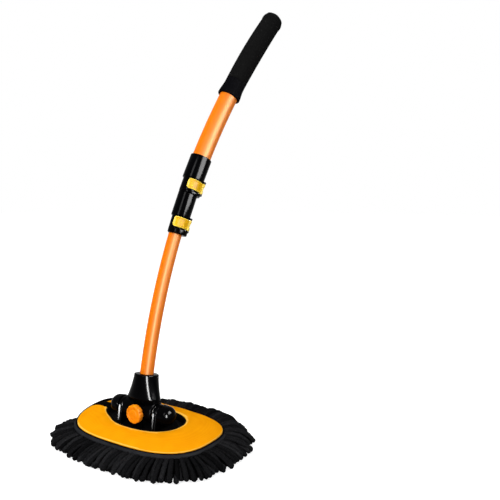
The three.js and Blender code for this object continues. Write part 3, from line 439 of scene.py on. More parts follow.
def cover_place(turn, share):
    """A place on the cover: its turn between the slit's sides, its share from edge to opening."""
    angle = turn * (np.pi - np.arcsin(slit_half / pad_half_length))
    outer = pad_radius(angle)
    radius = outer + (mouth_radius(angle) - outer) * share
    bearing = turn * (np.pi - np.arcsin(slit_half / radius))
    return polar(radius, bearing)


def cover_rise(x, y, far_sink=far_rim_sink):
    """The wadding is fuller at the left end, and the rim sinks on the far side of the slit."""
    bearing = np.degrees(np.arctan2(y, x)) % 360
    reach = np.hypot(x, y) / pad_radius(np.radians(bearing))
    near, edge = ramp(reach, 0.45, 0.95), ramp(reach, 0.75, 1)
    fuller = np.cos(np.clip((bearing - 172) / 46, -1, 1) * np.pi / 2) ** 2
    sunk = far_sink * edge * ramp(bearing, 182, 176) * ramp(bearing, 140, 165)
    return fuller * (fuller_left * near + fuller_rim * edge ** 2) - sunk


def cover_section(turn):
    """One section of the cover, round its edges, its crown and its underside."""
    end = ramp(np.abs(turn), 0.985, 1)
    droop = slit_droop * (1 - np.sqrt(1 - end ** 2))
    shares = np.concatenate([[0, 0, 0.004, 0.015, 0.035], np.linspace(0.06, 0.94, 22),
                             [0.97, 0.988, 0.997, 1, 1]])
    puff = wide_puff * np.sin(9 * turn * np.pi + 5 * shares)
    puff += narrow_puff * np.sin(23 * turn + 11 * shares)
    puff = puff * np.sin(np.pi * shares) ** 0.5
    lift = np.array([-1.6, -0.5, -0.1, 0.05] + [0.0] * 23 + [-0.05, -0.25, -0.6, -1.1, -2.6])
    top = cover_top(shares) + lift + puff - droop
    under = np.array([0.9, 0.65, 0.3, 0.11])
    low = np.maximum(cover_top(under) - cover_thickness, cover_low)
    all_shares = np.concatenate([[0], shares, [1], under])
    heights = np.concatenate([[cover_low], top, [cover_top(1) - cover_thickness], low])
    places = cover_place(turn, all_shares)
    heights[1:-4] += cover_rise(*places[1:-4].T)
    return np.column_stack([places, heights])


def worked(tree, operation, *terms):
    """The result of a step of arithmetic, whose terms are sockets or plain numbers."""
    step = tree.nodes.new("ShaderNodeMath")
    step.operation = operation
    for term, socket in zip(terms, step.inputs):
        if isinstance(term, (int, float)):
            socket.default_value = term
        else:
            tree.links.new(term, socket)
    return step.outputs[0]


def weave_group():
    """Plain weave: threads over and under each other at a given pitch, a little uneven."""
    group, nodes, links, given, given_back = new_group(
        "plain_weave", ("Pitch", "Dark", "Light"), ("Color", "Height"))
    place, apart = nodes.new("ShaderNodeTexCoord"), nodes.new("ShaderNodeSeparateXYZ")
    links.new(place.outputs["Object"], apart.inputs["Vector"])
    rate = worked(group, "DIVIDE", 2 * math.pi / mm, given.outputs["Pitch"])
    x, y, z = (worked(group, "SINE", worked(group, "MULTIPLY", apart.outputs[axis], rate))
               for axis in "XYZ")
    threads = worked(group, "MULTIPLY_ADD", worked(group, "MULTIPLY", x, y), 0.5,
                     worked(group, "MULTIPLY", z, 0.35))
    uneven = nodes.new("ShaderNodeTexNoise")
    uneven.inputs["Scale"].default_value = 60
    uneven.inputs["Detail"].default_value = 3
    links.new(place.outputs["Object"], uneven.inputs["Vector"])
    share = worked(group, "MULTIPLY_ADD", threads, 0.35, uneven.outputs["Fac"])
    blended(group, "RGBA", share, given.outputs["Dark"], given.outputs["Light"],
            given_back.inputs["Color"])
    links.new(share, given_back.inputs["Height"])
    return group


plain_weave = weave_group()


def woven(name, dark, light, pitch, bump, roughness, **sockets):
    """A cloth material in plain weave."""
    return patterned(name, plain_weave, {"Pitch": pitch, "Dark": dark, "Light": light}, bump,
                     {"Roughness": roughness, **sockets})


# The second cloth is a paler copy of the first, used for a painted highlight along the cover's
# edges.
cover_cloth, highlight_cloth = (
    woven(name, dark, light, 0.9, 0.06, 0.9, Specular_IOR_Level=0.001) for name, dark, light in (
        ("cover_cloth", tint(230, 142, 4), tint(241, 160, 8)),
        ("cover_cloth_highlight", tint(250, 180, 52), tint(255, 198, 84))))
cover_sections = np.array([cover_section(turn) for turn in turns_round(241)])
cover = make_piece("padded_cover", skin(cover_sections), cover_cloth, "head", "cover_panel",
                   50)
# Painted highlight: the cover's upward faces along its outer edge and round the opening get a paler
# copy of the cloth.
highlight_rim_width, highlight_mouth_width = 1.1, 3.6
cover.data.materials.append(highlight_cloth)
for face in cover.data.polygons:
    x, y, _ = face.center / mm
    bearing, reach = math.atan2(y, x), math.hypot(x, y)
    at_rim = pad_radius(bearing) - reach < highlight_rim_width
    at_mouth = reach - mouth_radius(bearing) < highlight_mouth_width
    face.material_index = int(face.normal.z > 0 and (at_rim or at_mouth))

# Bindings
# Black woven tape, folded over the raw edges and sewn through. The outer one covers the noodles'
# roots with a sloping band under a thin bead. The inner one goes round the opening and the slit.
band_gap, band_height, bead_width = 0.6, 21.7, 2.6
tape = woven("binding_tape", tint(24, 24, 26), tint(46, 47, 50), 0.7, 0.1, 0.8,
             Specular_IOR_Level=0.002)


def swept(section, line, way_out, looped):
    """A tape whose section (out, height) follows a line of (x, y, height) and its ways out."""
    places = line[:, None, :2] + way_out[:, None] * section[:, :1]
    return skin(np.dstack([places, line[:, 2:] + section[:, 1]]), looped)


band_section = eased([(0, -6, 0.4), (3.9, -5.6, 1.0), (4.8, -3.4, 1.0), (1.7, -0.55, 0.5),
                      (1.5, 0.35, 0.6), (0.1, 0.45, 0.5)], looped=True)
edge, out = edge_places(240, 0.0)
band_line = at_height(edge + out * band_gap, band_height)
band_points, band_faces = swept(band_section, band_line, out, True)
band_share = ramp(band_points[:, 2], band_height - 6, band_height)
band_points[:, 2] += 1.2 * band_share * cover_rise(band_points[:, 0], band_points[:, 1], 0.0)
outer_tape = make_piece("outer_tape", (band_points, band_faces), tape, "head", "outer_binding")
bead_thread = woven("bead_thread", tint(6, 6, 6), tint(13, 12, 11), 0.7, 0.1, 0.9,
                    Specular_IOR_Level=0.001)
outer_tape.data.materials.append(bead_thread)
for face in outer_tape.data.polygons:
    x, y, _ = face.center / mm
    face.material_index = int(math.hypot(x, y) - pad_radius(math.atan2(y, x)) < bead_width)

tape_height, tape_sag, far_tape_rise = 5.4, 0.5, 3.5
tape_section = eased([(0.3, -tape_height, 0.5), (3.1, -tape_height, 0.9), (3.1, 0.0, 1.2),
                      (1.6, 0.5, 0.8), (0.3, 0.2, 0.6)], looped=True)
slit_shares = np.array([0.02, 0.12, 0.24, 0.36, 0.48, 0.6, 0.72, 0.83, 0.92])
route = ([(-1.0, share) for share in slit_shares] + [(turn, 1.0) for turn in turns_round(181)]
         + [(1.0, share) for share in slit_shares[::-1]])
tape_line = np.array([[*cover_place(turn, np.array(share)), cover_top(share) - tape_sag]
                      for turn, share in route])
run = np.gradient(tape_line[:, :2], axis=0)
inward = np.stack([-run[:, 1], run[:, 0]], -1)
inward /= np.linalg.norm(inward, axis=1, keepdims=True)
tape_line[:, 2] = np.maximum(tape_line[:, 2], cover_low + tape_height)
tape_line[:, 2] += cover_rise(tape_line[:, 0], tape_line[:, 1])
tape_points, tape_faces = swept(tape_section, tape_line, inward, False)
# On the far side of the slit the tape stands taller, and all round its foot is on the board.
far_side = ramp(tape_points[:, 0], -62, -74) * ramp(tape_points[:, 0], -107, -93)
far_side *= tape_points[:, 1] > 0
tape_points[:, 2] += far_tape_rise * far_side * ramp(tape_points[:, 2], cover_low, cover_low + 6)
tape_foot = np.tile(tape_section[:, 1] < -4, len(tape_line))
tape_points[tape_foot, 2] = np.minimum(tape_points[tape_foot, 2], cover_low + 0.2)
make_piece("opening_tape", (tape_points, tape_faces), bead_thread, "head", "opening_binding")

# Yoke
# One gloss black moulding on four screws: an oval flange, two cheeks that carry the pivot, and the
# boss of the lock in front.
pivot = np.array([0.0, -11.6, 48.0])
flange_low, flange_top, cheek_inner, cheek_outer = 22.9, 29.3, 27.4, 35.8
cheek_radius, cheek_foot = 13.0, 17.8
knob_x, flange_y = 3.0, -1.6
gloss_black = grained("gloss_black", tint(1, 1, 2), tint(4, 4, 5), 90, 0.12, 0.18, 0.02, 3.0,
                      Specular_IOR_Level=0.012)


def slab(outline, low, high, ease, steps=3):
    """A plate with rounded edges: outline in the plane, from low to high across it."""
    along = np.roll(outline, -1, 0) - np.roll(outline, 1, 0)
    inwards = np.stack([-along[:, 1], along[:, 0]], -1)
    inwards /= np.linalg.norm(inwards, axis=1, keepdims=True)
    turn = np.linspace(0, np.pi / 2, steps + 1)
    rises = [(low + ease * (1 - np.sin(angle)), ease * (1 - np.cos(angle))) for angle in turn[::-1]]
    falls = [(high - ease * (1 - np.sin(angle)), ease * (1 - np.cos(angle))) for angle in turn]
    return np.array([at_height(outline + inwards * inset, height)
                     for height, inset in rises + falls])


def cheek(side):
    """A cheek of the yoke: a foot that narrows to a round head about the pivot."""
    drop = pivot[2] - flange_low
    reach = math.hypot(cheek_foot, drop)
    tangent = math.acos(cheek_radius / reach) - math.atan2(drop, cheek_foot)
    arc = np.linspace(tangent, np.pi - tangent, 26)
    head = polar(cheek_radius, arc)
    left = np.linspace(head[-1], (-cheek_foot, -drop), 8)[1:]
    foot = np.linspace(left[-1], (cheek_foot, -drop), 8)[1:]
    right = np.linspace(foot[-1], head[0], 8)[1:-1]
    outline = np.concatenate([head, left, foot, right])
    return to_side(side, slab(outline, cheek_inner, cheek_outer, 3.0, 5))


def turned(profile, around=72):
    """Rings of a turned piece about Z from (radius, height) points."""
    angle = all_round(around)
    return np.array([at_height(polar(radius, angle), height) for radius, height in profile])


def forward(rings, height=pivot[2]):
    """Sends a piece made along +Z out in front of the pivot."""
    return np.stack([knob_x + rings[..., 0], pivot[1] - rings[..., 2], height + rings[..., 1]], -1)


def to_side(side, rings, out=0.0):
    """Sends a piece made along +Z out to one side of the pivot."""
    return np.stack([side * (out + rings[..., 2]), pivot[1] + rings[..., 0],
                     pivot[2] + rings[..., 1]], -1)


flange_profile = eased([(-6, flange_low, 0), (0, flange_low, 0.5), (0, 25.4, 1.2),
                        (-6.5, 27.6, 4.0), (-11.5, 29.1, 3.0), (-20, flange_top, 0)], 6)
flange = skin(oval_rings(flange_profile, 47.5, 29.5, 2.2, 120, flange_y))
boss_profile = eased([(0, 11.6, 0), (7.2, 11.6, 0.6), (8, 16.6, 0.8), (3, 16.6, 0)])
boss = skin(forward(turned(boss_profile)))
web_outline = np.array([(-9, 0), (9, 0), (8.4, 17.6), (-8.4, 17.6)], float)
web_outline = np.concatenate([np.linspace(a, b, 7)[:-1] for a, b in
                              zip(web_outline, np.roll(web_outline, -1, 0))])
web = skin(forward(slab(web_outline, 11.8, 14.8, 0.8), flange_low + 3))
yoke = make_piece("yoke", together(flange, skin(cheek(1)), skin(cheek(-1)), boss, web),
                  gloss_black, "head", "yoke_base")
matt_black = grained("matt_black", tint(4, 4, 5), tint(9, 9, 10), 1200, 0.7, 0.85, 0.04,
                     Specular_IOR_Level=0.001)
# The flange keeps the matt skin of its mould.
yoke.data.materials.append(matt_black)
for face in yoke.data.polygons:
    face.material_index = int(face.center.z < (flange_top + 0.1) * mm)
dark_steel = grained("dark_steel", tint(14, 14, 15), tint(24, 24, 25), 900, 0.35, 0.5, 0.02,
                     Specular_IOR_Level=0.01)
for corner in ("front_left", "front_right", "back_left", "back_right"):
    dress(f"base_screw_{corner}", dark_steel)

# Pivot
# A steel bolt and nut through both cheeks, white nylon washers that give the tilt its friction, and
# domed black caps pressed over the ends.
washer_nylon = grained("washer_nylon", tint(205, 205, 200), tint(228, 228, 224), 500, 0.4, 0.55,
                       0.03)
screw_steel = grained("screw_steel", tint(150, 152, 156), tint(190, 192, 196), 900, 0.25, 0.4, 0.02,
                      Metallic=1.0)
for node in ("pivot_bolt", "pivot_nut"):
    dress(node, screw_steel)
cap_gap, dome_radius, dome_start, dome_height = 0.3, 13.2, 7.6, 12
dome = [(dome_radius * math.cos(angle) ** 0.9, dome_start + dome_height * math.sin(angle))
        for angle in np.linspace(0, np.pi / 2, 12)[:-1]]
dome.append((0, dome_start + dome_height))
rim = eased([(11.8, 2.5, 0), (11.8, 0, 0.3), (13.8, 0, 0.7), (13.6, 4, 1.0),
             (dome_radius, dome_start, 0)])
cap = turned(np.concatenate([rim[:-1], dome]))
for side, name in ((-1, "left"), (1, "right")):
    dress(f"friction_washer_{name}", washer_nylon)
    make_piece(f"domed_cap_{name}", skin(to_side(side, cap, cheek_outer + cap_gap)), gloss_black,
               "head", f"pivot_cap_{name}")

# Handle socket
# The gloss black moulding that tilts on the pivot: a barrel with thick ends between the cheeks and
# a skirt that narrows to a round collar, into which the pole is pushed and held by a screw.
lean = math.radians(10.6)
barrel_half, drum_radius = 26.0, 14.6
skirt_start, skirt_depth, socket_radius, socket_top = 17, 18, 17, 49.3


def in_joint(points):
    """From the tilting joint's own frame to the standing brush."""
    x, y, z = points[..., 0], points[..., 1], points[..., 2]
    return np.stack([pivot[0] + x, pivot[1] + y * math.cos(lean) + z * math.sin(lean),
                     pivot[2] - y * math.sin(lean) + z * math.cos(lean)], -1)


def skirt_rings(around=96):
    """Rings of the skirt: half length, half depth and height from the neck up to the collar."""
    sizes = [(barrel_half, half_depth, height) for half_depth, height in (
        (9.6, 0), (9.6, 7), (10.6, 9.5), (13.6, 12.4), (16.8, 15.4), (17.9, skirt_start))]
    for share in np.linspace(0.06, 1, 16):
        ease = 1 - (1 - share) ** 1.4
        sizes.append((barrel_half + (socket_radius - barrel_half) * ease,
                      skirt_depth + (socket_radius - skirt_depth) * ease,
                      skirt_start + (socket_top - 1.4 - skirt_start) * share))
    for radius, down in ((16.8, 0.7), (16.3, 0.2), (15.6, 0), (10.3, 0), (9.9, 0.4), (9.8, 5.3)):
        sizes.append((radius, radius, socket_top - down))
    circle = polar(1, all_round(around))
    return np.array([at_height(circle * (half_length, half_depth), height)
                     for half_length, half_depth, height in sizes])


barrel = turned(eased([
    (0, -barrel_half, 0), (drum_radius, -barrel_half, 1.6), (drum_radius, -6.8, 1.2),
    (11, -6.8, 0.5), (11, 12.8, 0.5), (drum_radius, 12.8, 1.2), (drum_radius, barrel_half, 1.6),
    (0, barrel_half, 0)]))
barrel = np.stack([barrel[..., 2], barrel[..., 0], barrel[..., 1]], -1)
make_piece("handle_socket_moulding",
           together(skin(in_joint(skirt_rings())), skin(in_joint(barrel))),
           gloss_black, "lower_pole", "handle_socket")
dress("socket_screw", screw_steel)

# Tilt lock
# An orange knob with scalloped edges, moulded over a steel screw. Turning it presses a nylon shoe
# against the barrel, which holds the tilt.
knob_back, knob_front, knob_radius, lobes, scallop_depth = 15.1, 22.5, 12.6, 9, 0.8
knob_plastic = grained("knob_plastic", tint(240, 132, 4), tint(250, 150, 10), 160, 0.35, 0.5, 0.05,
                       3.0, Specular_IOR_Level=0.016)


def knob_rings(around=144):
    """The knob from its back recess over the scalloped edge to the dished face and its hub."""
    rows = [(8.3, knob_back + 1.6, 0), (8.3, knob_back, 0), (11.4, knob_back, 0.6),
            (12.2, knob_back + 0.25, 1), (knob_radius, knob_back + 1, 1),
            (knob_radius, knob_front - 1.5, 1), (12.35, knob_front - 0.6, 1),
            (11.8, knob_front - 0.1, 0.9), (11, knob_front, 0.5),
            (9.4, knob_front, 0), (9.0, knob_front - 0.15, 0), (8.6, knob_front - 0.7, 0),
            (8.2, knob_front - 0.8, 0), (6.3, knob_front - 0.8, 0), (6.0, knob_front - 0.6, 0),
            (5.8, knob_front - 0.1, 0), (5.3, knob_front, 0), (2.0, knob_front + 0.15, 0),
            (0, knob_front + 0.2, 0)]
    angle = all_round(around)
    scallop = scallop_depth * (0.5 - 0.5 * np.cos(lobes * angle)) ** 5
    return np.array([at_height(polar(radius - depth * scallop, angle), height)
                     for radius, height, depth in rows])


make_piece("knob", skin(forward(knob_rings())), knob_plastic, "lock_knob", "lock_knob")
dress("lock_screw", screw_steel)
dress("brake_shoe", washer_nylon)

# Lower tube
# The thinnest of three aluminium tubes, all bent to one arc and lacquered orange. It is fixed in
# the socket, and a nylon bush on its upper end guides the next tube.
bend_radius, bend_azimuth, arc_start = 1223.0, math.radians(54.2), 33.6
lower_radius, tube_wall, tube_ease = 9.5, 1.2, 0.4
lacquer = grained("orange_lacquer", tint(230, 112, 0), tint(238, 124, 0), 30, 0.44, 0.46, 0.0, 2.0,
                  Specular_IOR_Level=0.055, Specular_Tint=(1.0, 0.82, 0.5, 1.0))


def on_pole(points):
    """Bends a piece made along +Z onto the pole's arc and stands it in its place."""
    turn = points[..., 2] / bend_radius
    radius = bend_radius - points[..., 0]
    x = bend_radius - radius * np.cos(turn)
    z = arc_start + radius * np.sin(turn)
    y = points[..., 1]
    return in_joint(np.stack([x * math.cos(bend_azimuth) - y * math.sin(bend_azimuth),
                              x * math.sin(bend_azimuth) + y * math.cos(bend_azimuth), z], -1))


def round_pole(profile, looped=True):
    """A piece turned round the pole's line from (radius, height) points."""
    return skin(on_pole(turned(profile, 80)), looped)


def tube(which, radius, low, high):
    """A tube of the pole, with eased ends and stations close enough for the bend."""
    stations = np.linspace(low + tube_ease, high - tube_ease, int((high - low) / 10) + 2)
    outside = [(radius - tube_ease, low), *((radius, height) for height in stations),
               (radius - tube_ease, high)]
    inside = [(radius - tube_wall, height) for height in (high, *stations[::-1], low)]
    make_piece(f"tube_{which}", round_pole(outside + inside), lacquer, f"{which}_pole",
               f"{which}_tube")


tube("lower", lower_radius, -18, 505)
dress("lower_tube_bush", washer_nylon)

# Lower clamp
# A gloss black collar on the end of the middle tube: a lip that stands out towards the hinge, a
# split neck and a sleeve in one moulding. A yellow lever on a steel pin wraps the neck.
middle_radius, running_gap, seat_gap = 11.5, 0.35, 0.3
neck_wall, sleeve_wall, neck_length, sleeve_length = 2.1, 2.0, 17.5, 35.0
lever_wall, lever_height, plate_height, lever_corner = 2.6, 15.5, 14.5, 4.0
dish_depth, rim_ease, side_ease = 1.2, 0.9, 0.8
# How far the floor of the dish, which the lever's painted highlight leaves out, reaches from the
# middle and the ends.
highlight_from_middle, highlight_at_free, highlight_at_hinge = 0.77 * plate_height / 2, 2.4, 3.4
knuckle_radius, ear_height, lip_drop = 2.7, 3.0, 0.45
lever_hinge, split_turn = math.radians(-22), math.radians(-185)
# The second plastic is a paler copy of the first, used for a painted highlight on the lever's rim.
lever_plastic, lever_rim_highlight = (
    grained(name, dark, light, 120, 0.3, 0.42, 0.04, 3.0, Specular_IOR_Level=0.012)
    for name, dark, light in (
        ("lever_plastic", tint(242, 178, 2), tint(248, 192, 6)),
        ("lever_plastic_rim_highlight", tint(252, 214, 60), tint(255, 228, 100))))


def at_hinge(rings, inner):
    """Moves a piece from the tube's line to the line of the lever's pin."""
    return rings + np.append(polar(inner + lever_wall / 2 + 1.4, lever_hinge), 0)


def collar(start, gripped, carried, lip_length, lip_shift):
    """The moulded collar, with the ears of its lever above and below the hinge."""
    bore = gripped + running_gap
    neck = bore + neck_wall
    sleeve = carried + seat_gap + sleeve_wall
    lip_top = start + lip_length
    neck_top = lip_top + neck_length
    top = neck_top + sleeve_length
    low = lip_top + (neck_length - lever_height) / 2
    high = low + lever_height
    shoulder = neck_top - sleeve_wall
    split_top = shoulder - 1.8
    upper = round_pole(eased([
        (bore, split_top, 0), (neck, split_top, 0), (neck, neck_top, 0.4), (sleeve, neck_top, 1.0),
        (sleeve, top, 0.7), (carried + seat_gap, top, 0.3), (carried + seat_gap, shoulder, 0),
        (bore, shoulder, 0)], 4, True))
    # The neck is split at the back, so that the lever can pull it tight.
    half_split = 1.0 / neck
    turns = split_turn + np.linspace(half_split, 2 * np.pi - half_split, 73)
    wall = eased([(bore, start + 0.4, 0.3), (neck, start + 0.4, 1.2), (neck, split_top, 0),
                  (bore, split_top, 0)], 3, True)
    split_neck = skin(on_pole(np.array([[(*polar(radius, turn), height) for radius, height in wall]
                                        for turn in turns])))
    # The lip is a round one, shifted towards the hinge. A short lip has a sharper lower edge.
    edge, edge_ease = neck + 1.6, 0.8 if lip_length < 5 else 1.8
    lip_profile = eased([(0, start - lip_drop, 0), (edge, start - lip_drop, edge_ease),
                         (edge, lip_top - 0.2, 1.8), (neck - lip_shift - 0.4, lip_top, 0.8),
                         (0, lip_top, 0)], 6)
    share = np.maximum(0, (lip_profile[:, 0] - bore) / (edge - bore))
    sections = []
    for turn in turns:
        along = polar(1, turn) @ polar(lip_shift, lever_hinge)
        widest = along + math.sqrt(along ** 2 - lip_shift ** 2 + edge ** 2)
        sections.append(np.column_stack([polar(bore + (widest - bore) * share, turn),
                                         lip_profile[:, 1]]))
    lip = skin(on_pole(np.array(sections)))
    ears = []
    for base in (low - seat_gap - ear_height, high + seat_gap):
        ear = eased([(0, base, 0), (knuckle_radius, base, 0.6),
                     (knuckle_radius, base + ear_height, 0.6), (0, base + ear_height, 0)])
        ears.append(skin(on_pole(at_hinge(turned(ear, 32), neck + seat_gap))))
    return together(upper, split_neck, lip, *ears)


def lever(inner, middle, free):
    """The flip lever: a curved plate with a rounded free end and a dished face, on two knuckles."""
    turns = np.concatenate([free + np.array([0, 0.004, 0.012, 0.03, 0.06, 0.1, 0.15, 0.21, 0.28]),
                            np.linspace(free + 0.36, lever_hinge, 26)])
    across = np.array([0.3, 0.72, 0.8, 0.87, 0.94, 0.985, 1])
    across = np.concatenate([-across[::-1], across])
    rows = []
    for turn in turns:
        away = (turn - free) * (inner + lever_wall)
        cut_back = max(0.0, lever_corner - away)
        corner = math.sqrt(max(lever_corner ** 2 - cut_back ** 2, 0.01))
        half = plate_height / 2 - lever_corner + corner
        end_drop = rim_ease * (1 - min(away / 1.2, 1.0)) ** 2
        dish = dish_depth * ramp(np.abs(across), 0.84, 0.74) * ramp(away, 2.0, 2.8)
        dish = dish * ramp((lever_hinge - turn) * inner, 3, 4.5)
        side_drop = side_ease * ramp(np.abs(across), 0.86, 1) ** 2
        outer_radius = inner + lever_wall - end_drop - dish - side_drop
        radius = np.concatenate([outer_radius, np.full(len(across), inner)])
        heights = middle + half * np.concatenate([across, across[::-1]])
        rows.append(np.column_stack([polar(radius, turn), heights]))
    plate = skin(on_pole(np.array(rows)))
    low, high = middle - lever_height / 2, middle + lever_height / 2
    knuckles = turned(eased([
        (0, low, 0), (knuckle_radius, low, 0.6), (knuckle_radius, low + 4.4, 0.8),
        (1.9, low + 5.2, 0.3), (1.9, high - 5.2, 0.3), (knuckle_radius, high - 4.4, 0.8),
        (knuckle_radius, high, 0.6), (0, high, 0)]), 32)
    return together(plate, skin(on_pole(at_hinge(knuckles, inner))))


def along_pole(points):
    """The way back from the standing brush to a piece made along +Z."""
    y, z = points[..., 1] - pivot[1], points[..., 2] - pivot[2]
    x, y, z = (points[..., 0] - pivot[0], y * math.cos(lean) - z * math.sin(lean),
               y * math.sin(lean) + z * math.cos(lean) - arc_start)
    bent = bend_radius - x * math.cos(bend_azimuth) - y * math.sin(bend_azimuth)
    return np.stack([bend_radius - np.hypot(bent, z),
                     y * math.cos(bend_azimuth) - x * math.sin(bend_azimuth),
                     np.arctan2(z, bent) * bend_radius], -1)


def clamp(which, tube_end, start, gripped, carried, lip_length, lip_shift, free):
    """A clamp on the end of its tube: the collar, the lever and the pin."""
    make_piece(f"clamp_{which}", collar(start, gripped, carried, lip_length, lip_shift),
               gloss_black, tube_end, f"{which}_clamp_collar")
    dress(f"{which}_lever_pin", screw_steel)
    inner = gripped + running_gap + neck_wall + seat_gap
    middle = start + lip_length + neck_length / 2
    piece = make_piece(f"lever_{which}", lever(inner, middle, free), lever_plastic,
                       f"{which}_lever", f"{which}_clamp_lever")
    # Painted highlight: the lever gets a paler copy of its plastic everywhere except the floor of
    # its dish, so that its raised rim and ends look lit.
    piece.data.materials.append(lever_rim_highlight)
    centres = along_pole(np.array([face.center for face in piece.data.polygons]) / mm)
    turns = np.arctan2(centres[:, 1], centres[:, 0])
    dished = np.abs(centres[:, 2] - middle) < highlight_from_middle
    dished &= turns > free + highlight_at_free / inner
    dished &= turns < lever_hinge - highlight_at_hinge / inner
    for face, floor_of_dish in zip(piece.data.polygons, dished):
        face.material_index = int(not floor_of_dish)


clamp("lower", "middle_pole", 215, lower_radius, middle_radius, 7.5, 2.7, math.radians(-137))

# Middle tube and upper clamp
# The middle tube of the pole slides on the lower one. The upper clamp is made like the lower one, a
# size larger, and sits on the end of the upper tube.
upper_radius = 13.5
tube("middle", middle_radius, 238.3, 560)
dress("middle_tube_bush", washer_nylon)
clamp("upper", "upper_pole", 275.6, middle_radius, upper_radius, 4.0, 1.9, math.radians(-124))

# Upper tube and grip
# The widest tube carries the grip: a flared collar, a foam sleeve pushed over the tube and a domed
# end cap, all soft and matt to the hand.
grip_bore, sleeve_low, sleeve_high = 13.8, 460.3, 568
tube("upper", upper_radius, 295.4, 581)
collar_rubber = grained("collar_rubber", tint(5, 5, 7), tint(13, 13, 16), 500, 0.6, 0.8, 0.08, 4.0,
                        Specular_IOR_Level=0.001)
grip_foam = grained("grip_foam", tint(6, 6, 6), tint(25, 25, 25), 800, 0.85, 1.0, 0.22, 5.0,
                    Specular_IOR_Level=0.001)
flare = eased([(grip_bore, 434, 0.2), (17.2, 434, 1.4), (17.0, 439, 3.0), (15.3, 451, 4.0),
               (15.3, 460, 0.2), (grip_bore, 460, 0.2)], 6, True)
make_piece("collar_grip", round_pole(flare), collar_rubber, "upper_pole",
           "grip_collar")
stations = np.linspace(460.6, 567.7, 20)
belly = [(15.3 + 0.45 * math.sin(math.pi * (height - 460) / 108), height) for height in stations]
sleeve = [(14.7, sleeve_low), (15.2, 460.35), *belly, (15.2, 567.95), (14.7, sleeve_high)]
sleeve += [(grip_bore, height) for height in (sleeve_high, *stations[::-1], sleeve_low)]
grip = make_piece("foam_sleeve", round_pole(sleeve), grip_foam, "upper_pole",
                  "grip_sleeve")
dome = [(15.9 * math.cos(angle), 573.6 + 13.7 * math.sin(angle))
        for angle in np.linspace(0, np.pi / 2, 16)]
end = [(0, 581.4), (grip_bore, 581.4), (grip_bore, 568.3), (14.8, 568.3), (15.3, 568.8),
       (15.7, 571.2), *dome]
make_piece("cap_end", round_pole(end, False), grip_foam, "upper_pole", "grip_end_cap")

# Studio
# A plain pale floor under soft light, and the camera where the photograph was taken from.
swing, dip, camera_place = math.radians(33.1), math.radians(5.5), (0.5477, -0.5798, 0.3443)
focal, picture_width = 577.43, 500
camera_data = bpy.data.cameras.new("camera")
camera_data.sensor_width = 36
camera_data.lens = focal / picture_width * camera_data.sensor_width
camera = in_scene("camera", camera_data)
level = Vector((-math.sin(swing), math.cos(swing), 0))
ahead = level * math.cos(dip) - Vector((0, 0, math.sin(dip)))
above = level * math.sin(dip) + Vector((0, 0, math.cos(dip)))
aside = Vector((math.cos(swing), math.sin(swing), 0))
camera.matrix_world = Matrix((aside, above, -ahead)).transposed().to_4x4()
camera.location = camera_place
bpy.context.scene.camera = camera


def background_rays(tree):
    """1 for the rays that see the plain background, from the camera, glass or gloss, and else 0."""
    path = tree.nodes.new("ShaderNodeLightPath")
    seen = worked(tree, "MAXIMUM", path.outputs["Is Camera Ray"],
                  path.outputs["Is Transmission Ray"])
    return worked(tree, "MAXIMUM", seen, path.outputs["Is Glossy Ray"])


sky_light, sky_shown, floor_shown = 0.42, 1.0, 0.8
world = bpy.data.worlds.new("studio")
bpy.context.scene.world = world
world.use_nodes = True
sky = world.node_tree.nodes["Background"]
sky.inputs["Color"].default_value = (1, 1, 1, 1)
strength = world.node_tree.nodes.new("ShaderNodeMapRange")
strength.inputs["To Min"].default_value = sky_light
strength.inputs["To Max"].default_value = sky_shown
world.node_tree.links.new(background_rays(world.node_tree), strength.inputs["Value"])
world.node_tree.links.new(strength.outputs["Result"], sky.inputs["Strength"])

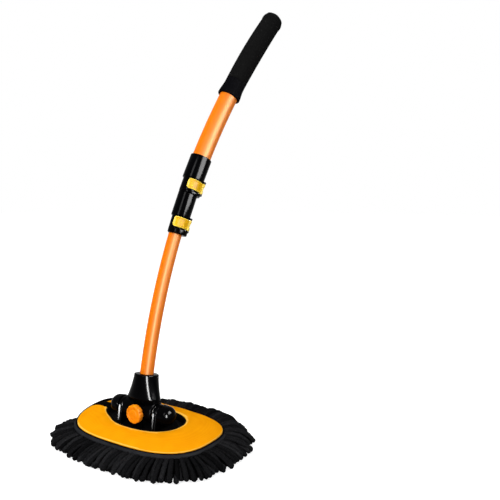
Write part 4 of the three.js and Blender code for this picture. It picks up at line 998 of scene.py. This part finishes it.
floor_mesh = bpy.data.meshes.new("floor")
floor_mesh.from_pydata([(-9, -9, 0), (9, -9, 0), (9, 9, 0), (-9, 9, 0)], [], [(0, 1, 2, 3)])
floor = in_scene("floor", floor_mesh)
floor_paint = bpy.data.materials.new("floor_paint")
floor_paint.use_nodes = True
floor_tree = floor_paint.node_tree
floor_shader = floor_tree.nodes["Principled BSDF"]
floor_shader.inputs["Base Color"].default_value = (0.55, 0.55, 0.55, 1)
floor_shader.inputs["Roughness"].default_value = 0.9
floor_shader.inputs["Specular IOR Level"].default_value = 0.0
floor_shader.inputs["Emission Color"].default_value = (1, 1, 1, 1)
floor_tree.links.new(worked(floor_tree, "MULTIPLY", background_rays(floor_tree), floor_shown),
                     floor_shader.inputs["Emission Strength"])
floor_mesh.materials.append(floor_paint)


def softbox(name, place, target, width, height, power, reflected=False, shown=True):
    """A flat soft lamp that faces a point of the brush. Some are there only to be reflected."""
    lamp_data = bpy.data.lights.new(name, "AREA")
    lamp_data.shape, lamp_data.size, lamp_data.size_y = "RECTANGLE", width, height
    lamp_data.energy = power
    lamp = in_scene(name, lamp_data)
    lamp.location = place
    lamp.rotation_euler = (Vector(target) - Vector(place)).to_track_quat("-Z", "Y").to_euler()
    lamp.visible_diffuse, lamp.visible_glossy = not reflected, reflected
    lamp.visible_camera = shown
    return lamp


def limited(lamp, state, *names):
    """Lets a lamp reach only the named pieces, INCLUDE, or all the others, EXCLUDE."""
    listed = bpy.data.collections.new(f"listed_for_{lamp.name}")
    lamp.light_linking.receiver_collection = listed
    for name in names:
        listed.objects.link(bpy.data.objects[name])
    for entry in listed.collection_objects:
        entry.light_linking.link_state = state


softbox("front_box", (0.1, -1.5, 1.3), (0, 0, 0.2), 1.2, 1.0, 22)
softbox("top_box", (-0.3, 0.2, 1.9), (0, 0, 0), 1.4, 1.4, 14)
softbox("right_box", (1.2, -0.9, 0.9), (0, 0, 0.2), 0.8, 0.8, 6)
strip_lamp = softbox("strip_reflection", (1.1, -1.02, 0.37), (0, 0, 0.37), 0.3, 0.7, 600,
                     reflected=True)
softbox("side_reflection", (0.55, 0.06, 0.5), (0.05, 0.06, 0.44), 0.38, 0.36, 105, reflected=True)
softbox("front_reflection", (0.25, -1.4, 1.15), (0, 0, 0.3), 0.4, 0.8, 45, reflected=True)
# The cheeks' sloping fronts catch a low lamp, which nothing else is to reflect.
low_lamp = softbox("low_reflection", (-0.245, -0.275, 0.045), (0, -0.028, 0.035), 0.13, 0.08, 22,
                   reflected=True, shown=False)
limited(low_lamp, "INCLUDE", "yoke")
# The clamps' collars show only the soft stripes, so they don't reflect the strip.
limited(strip_lamp, "EXCLUDE", "clamp_lower", "clamp_upper")

bpy.context.scene.view_settings.view_transform = "Standard"
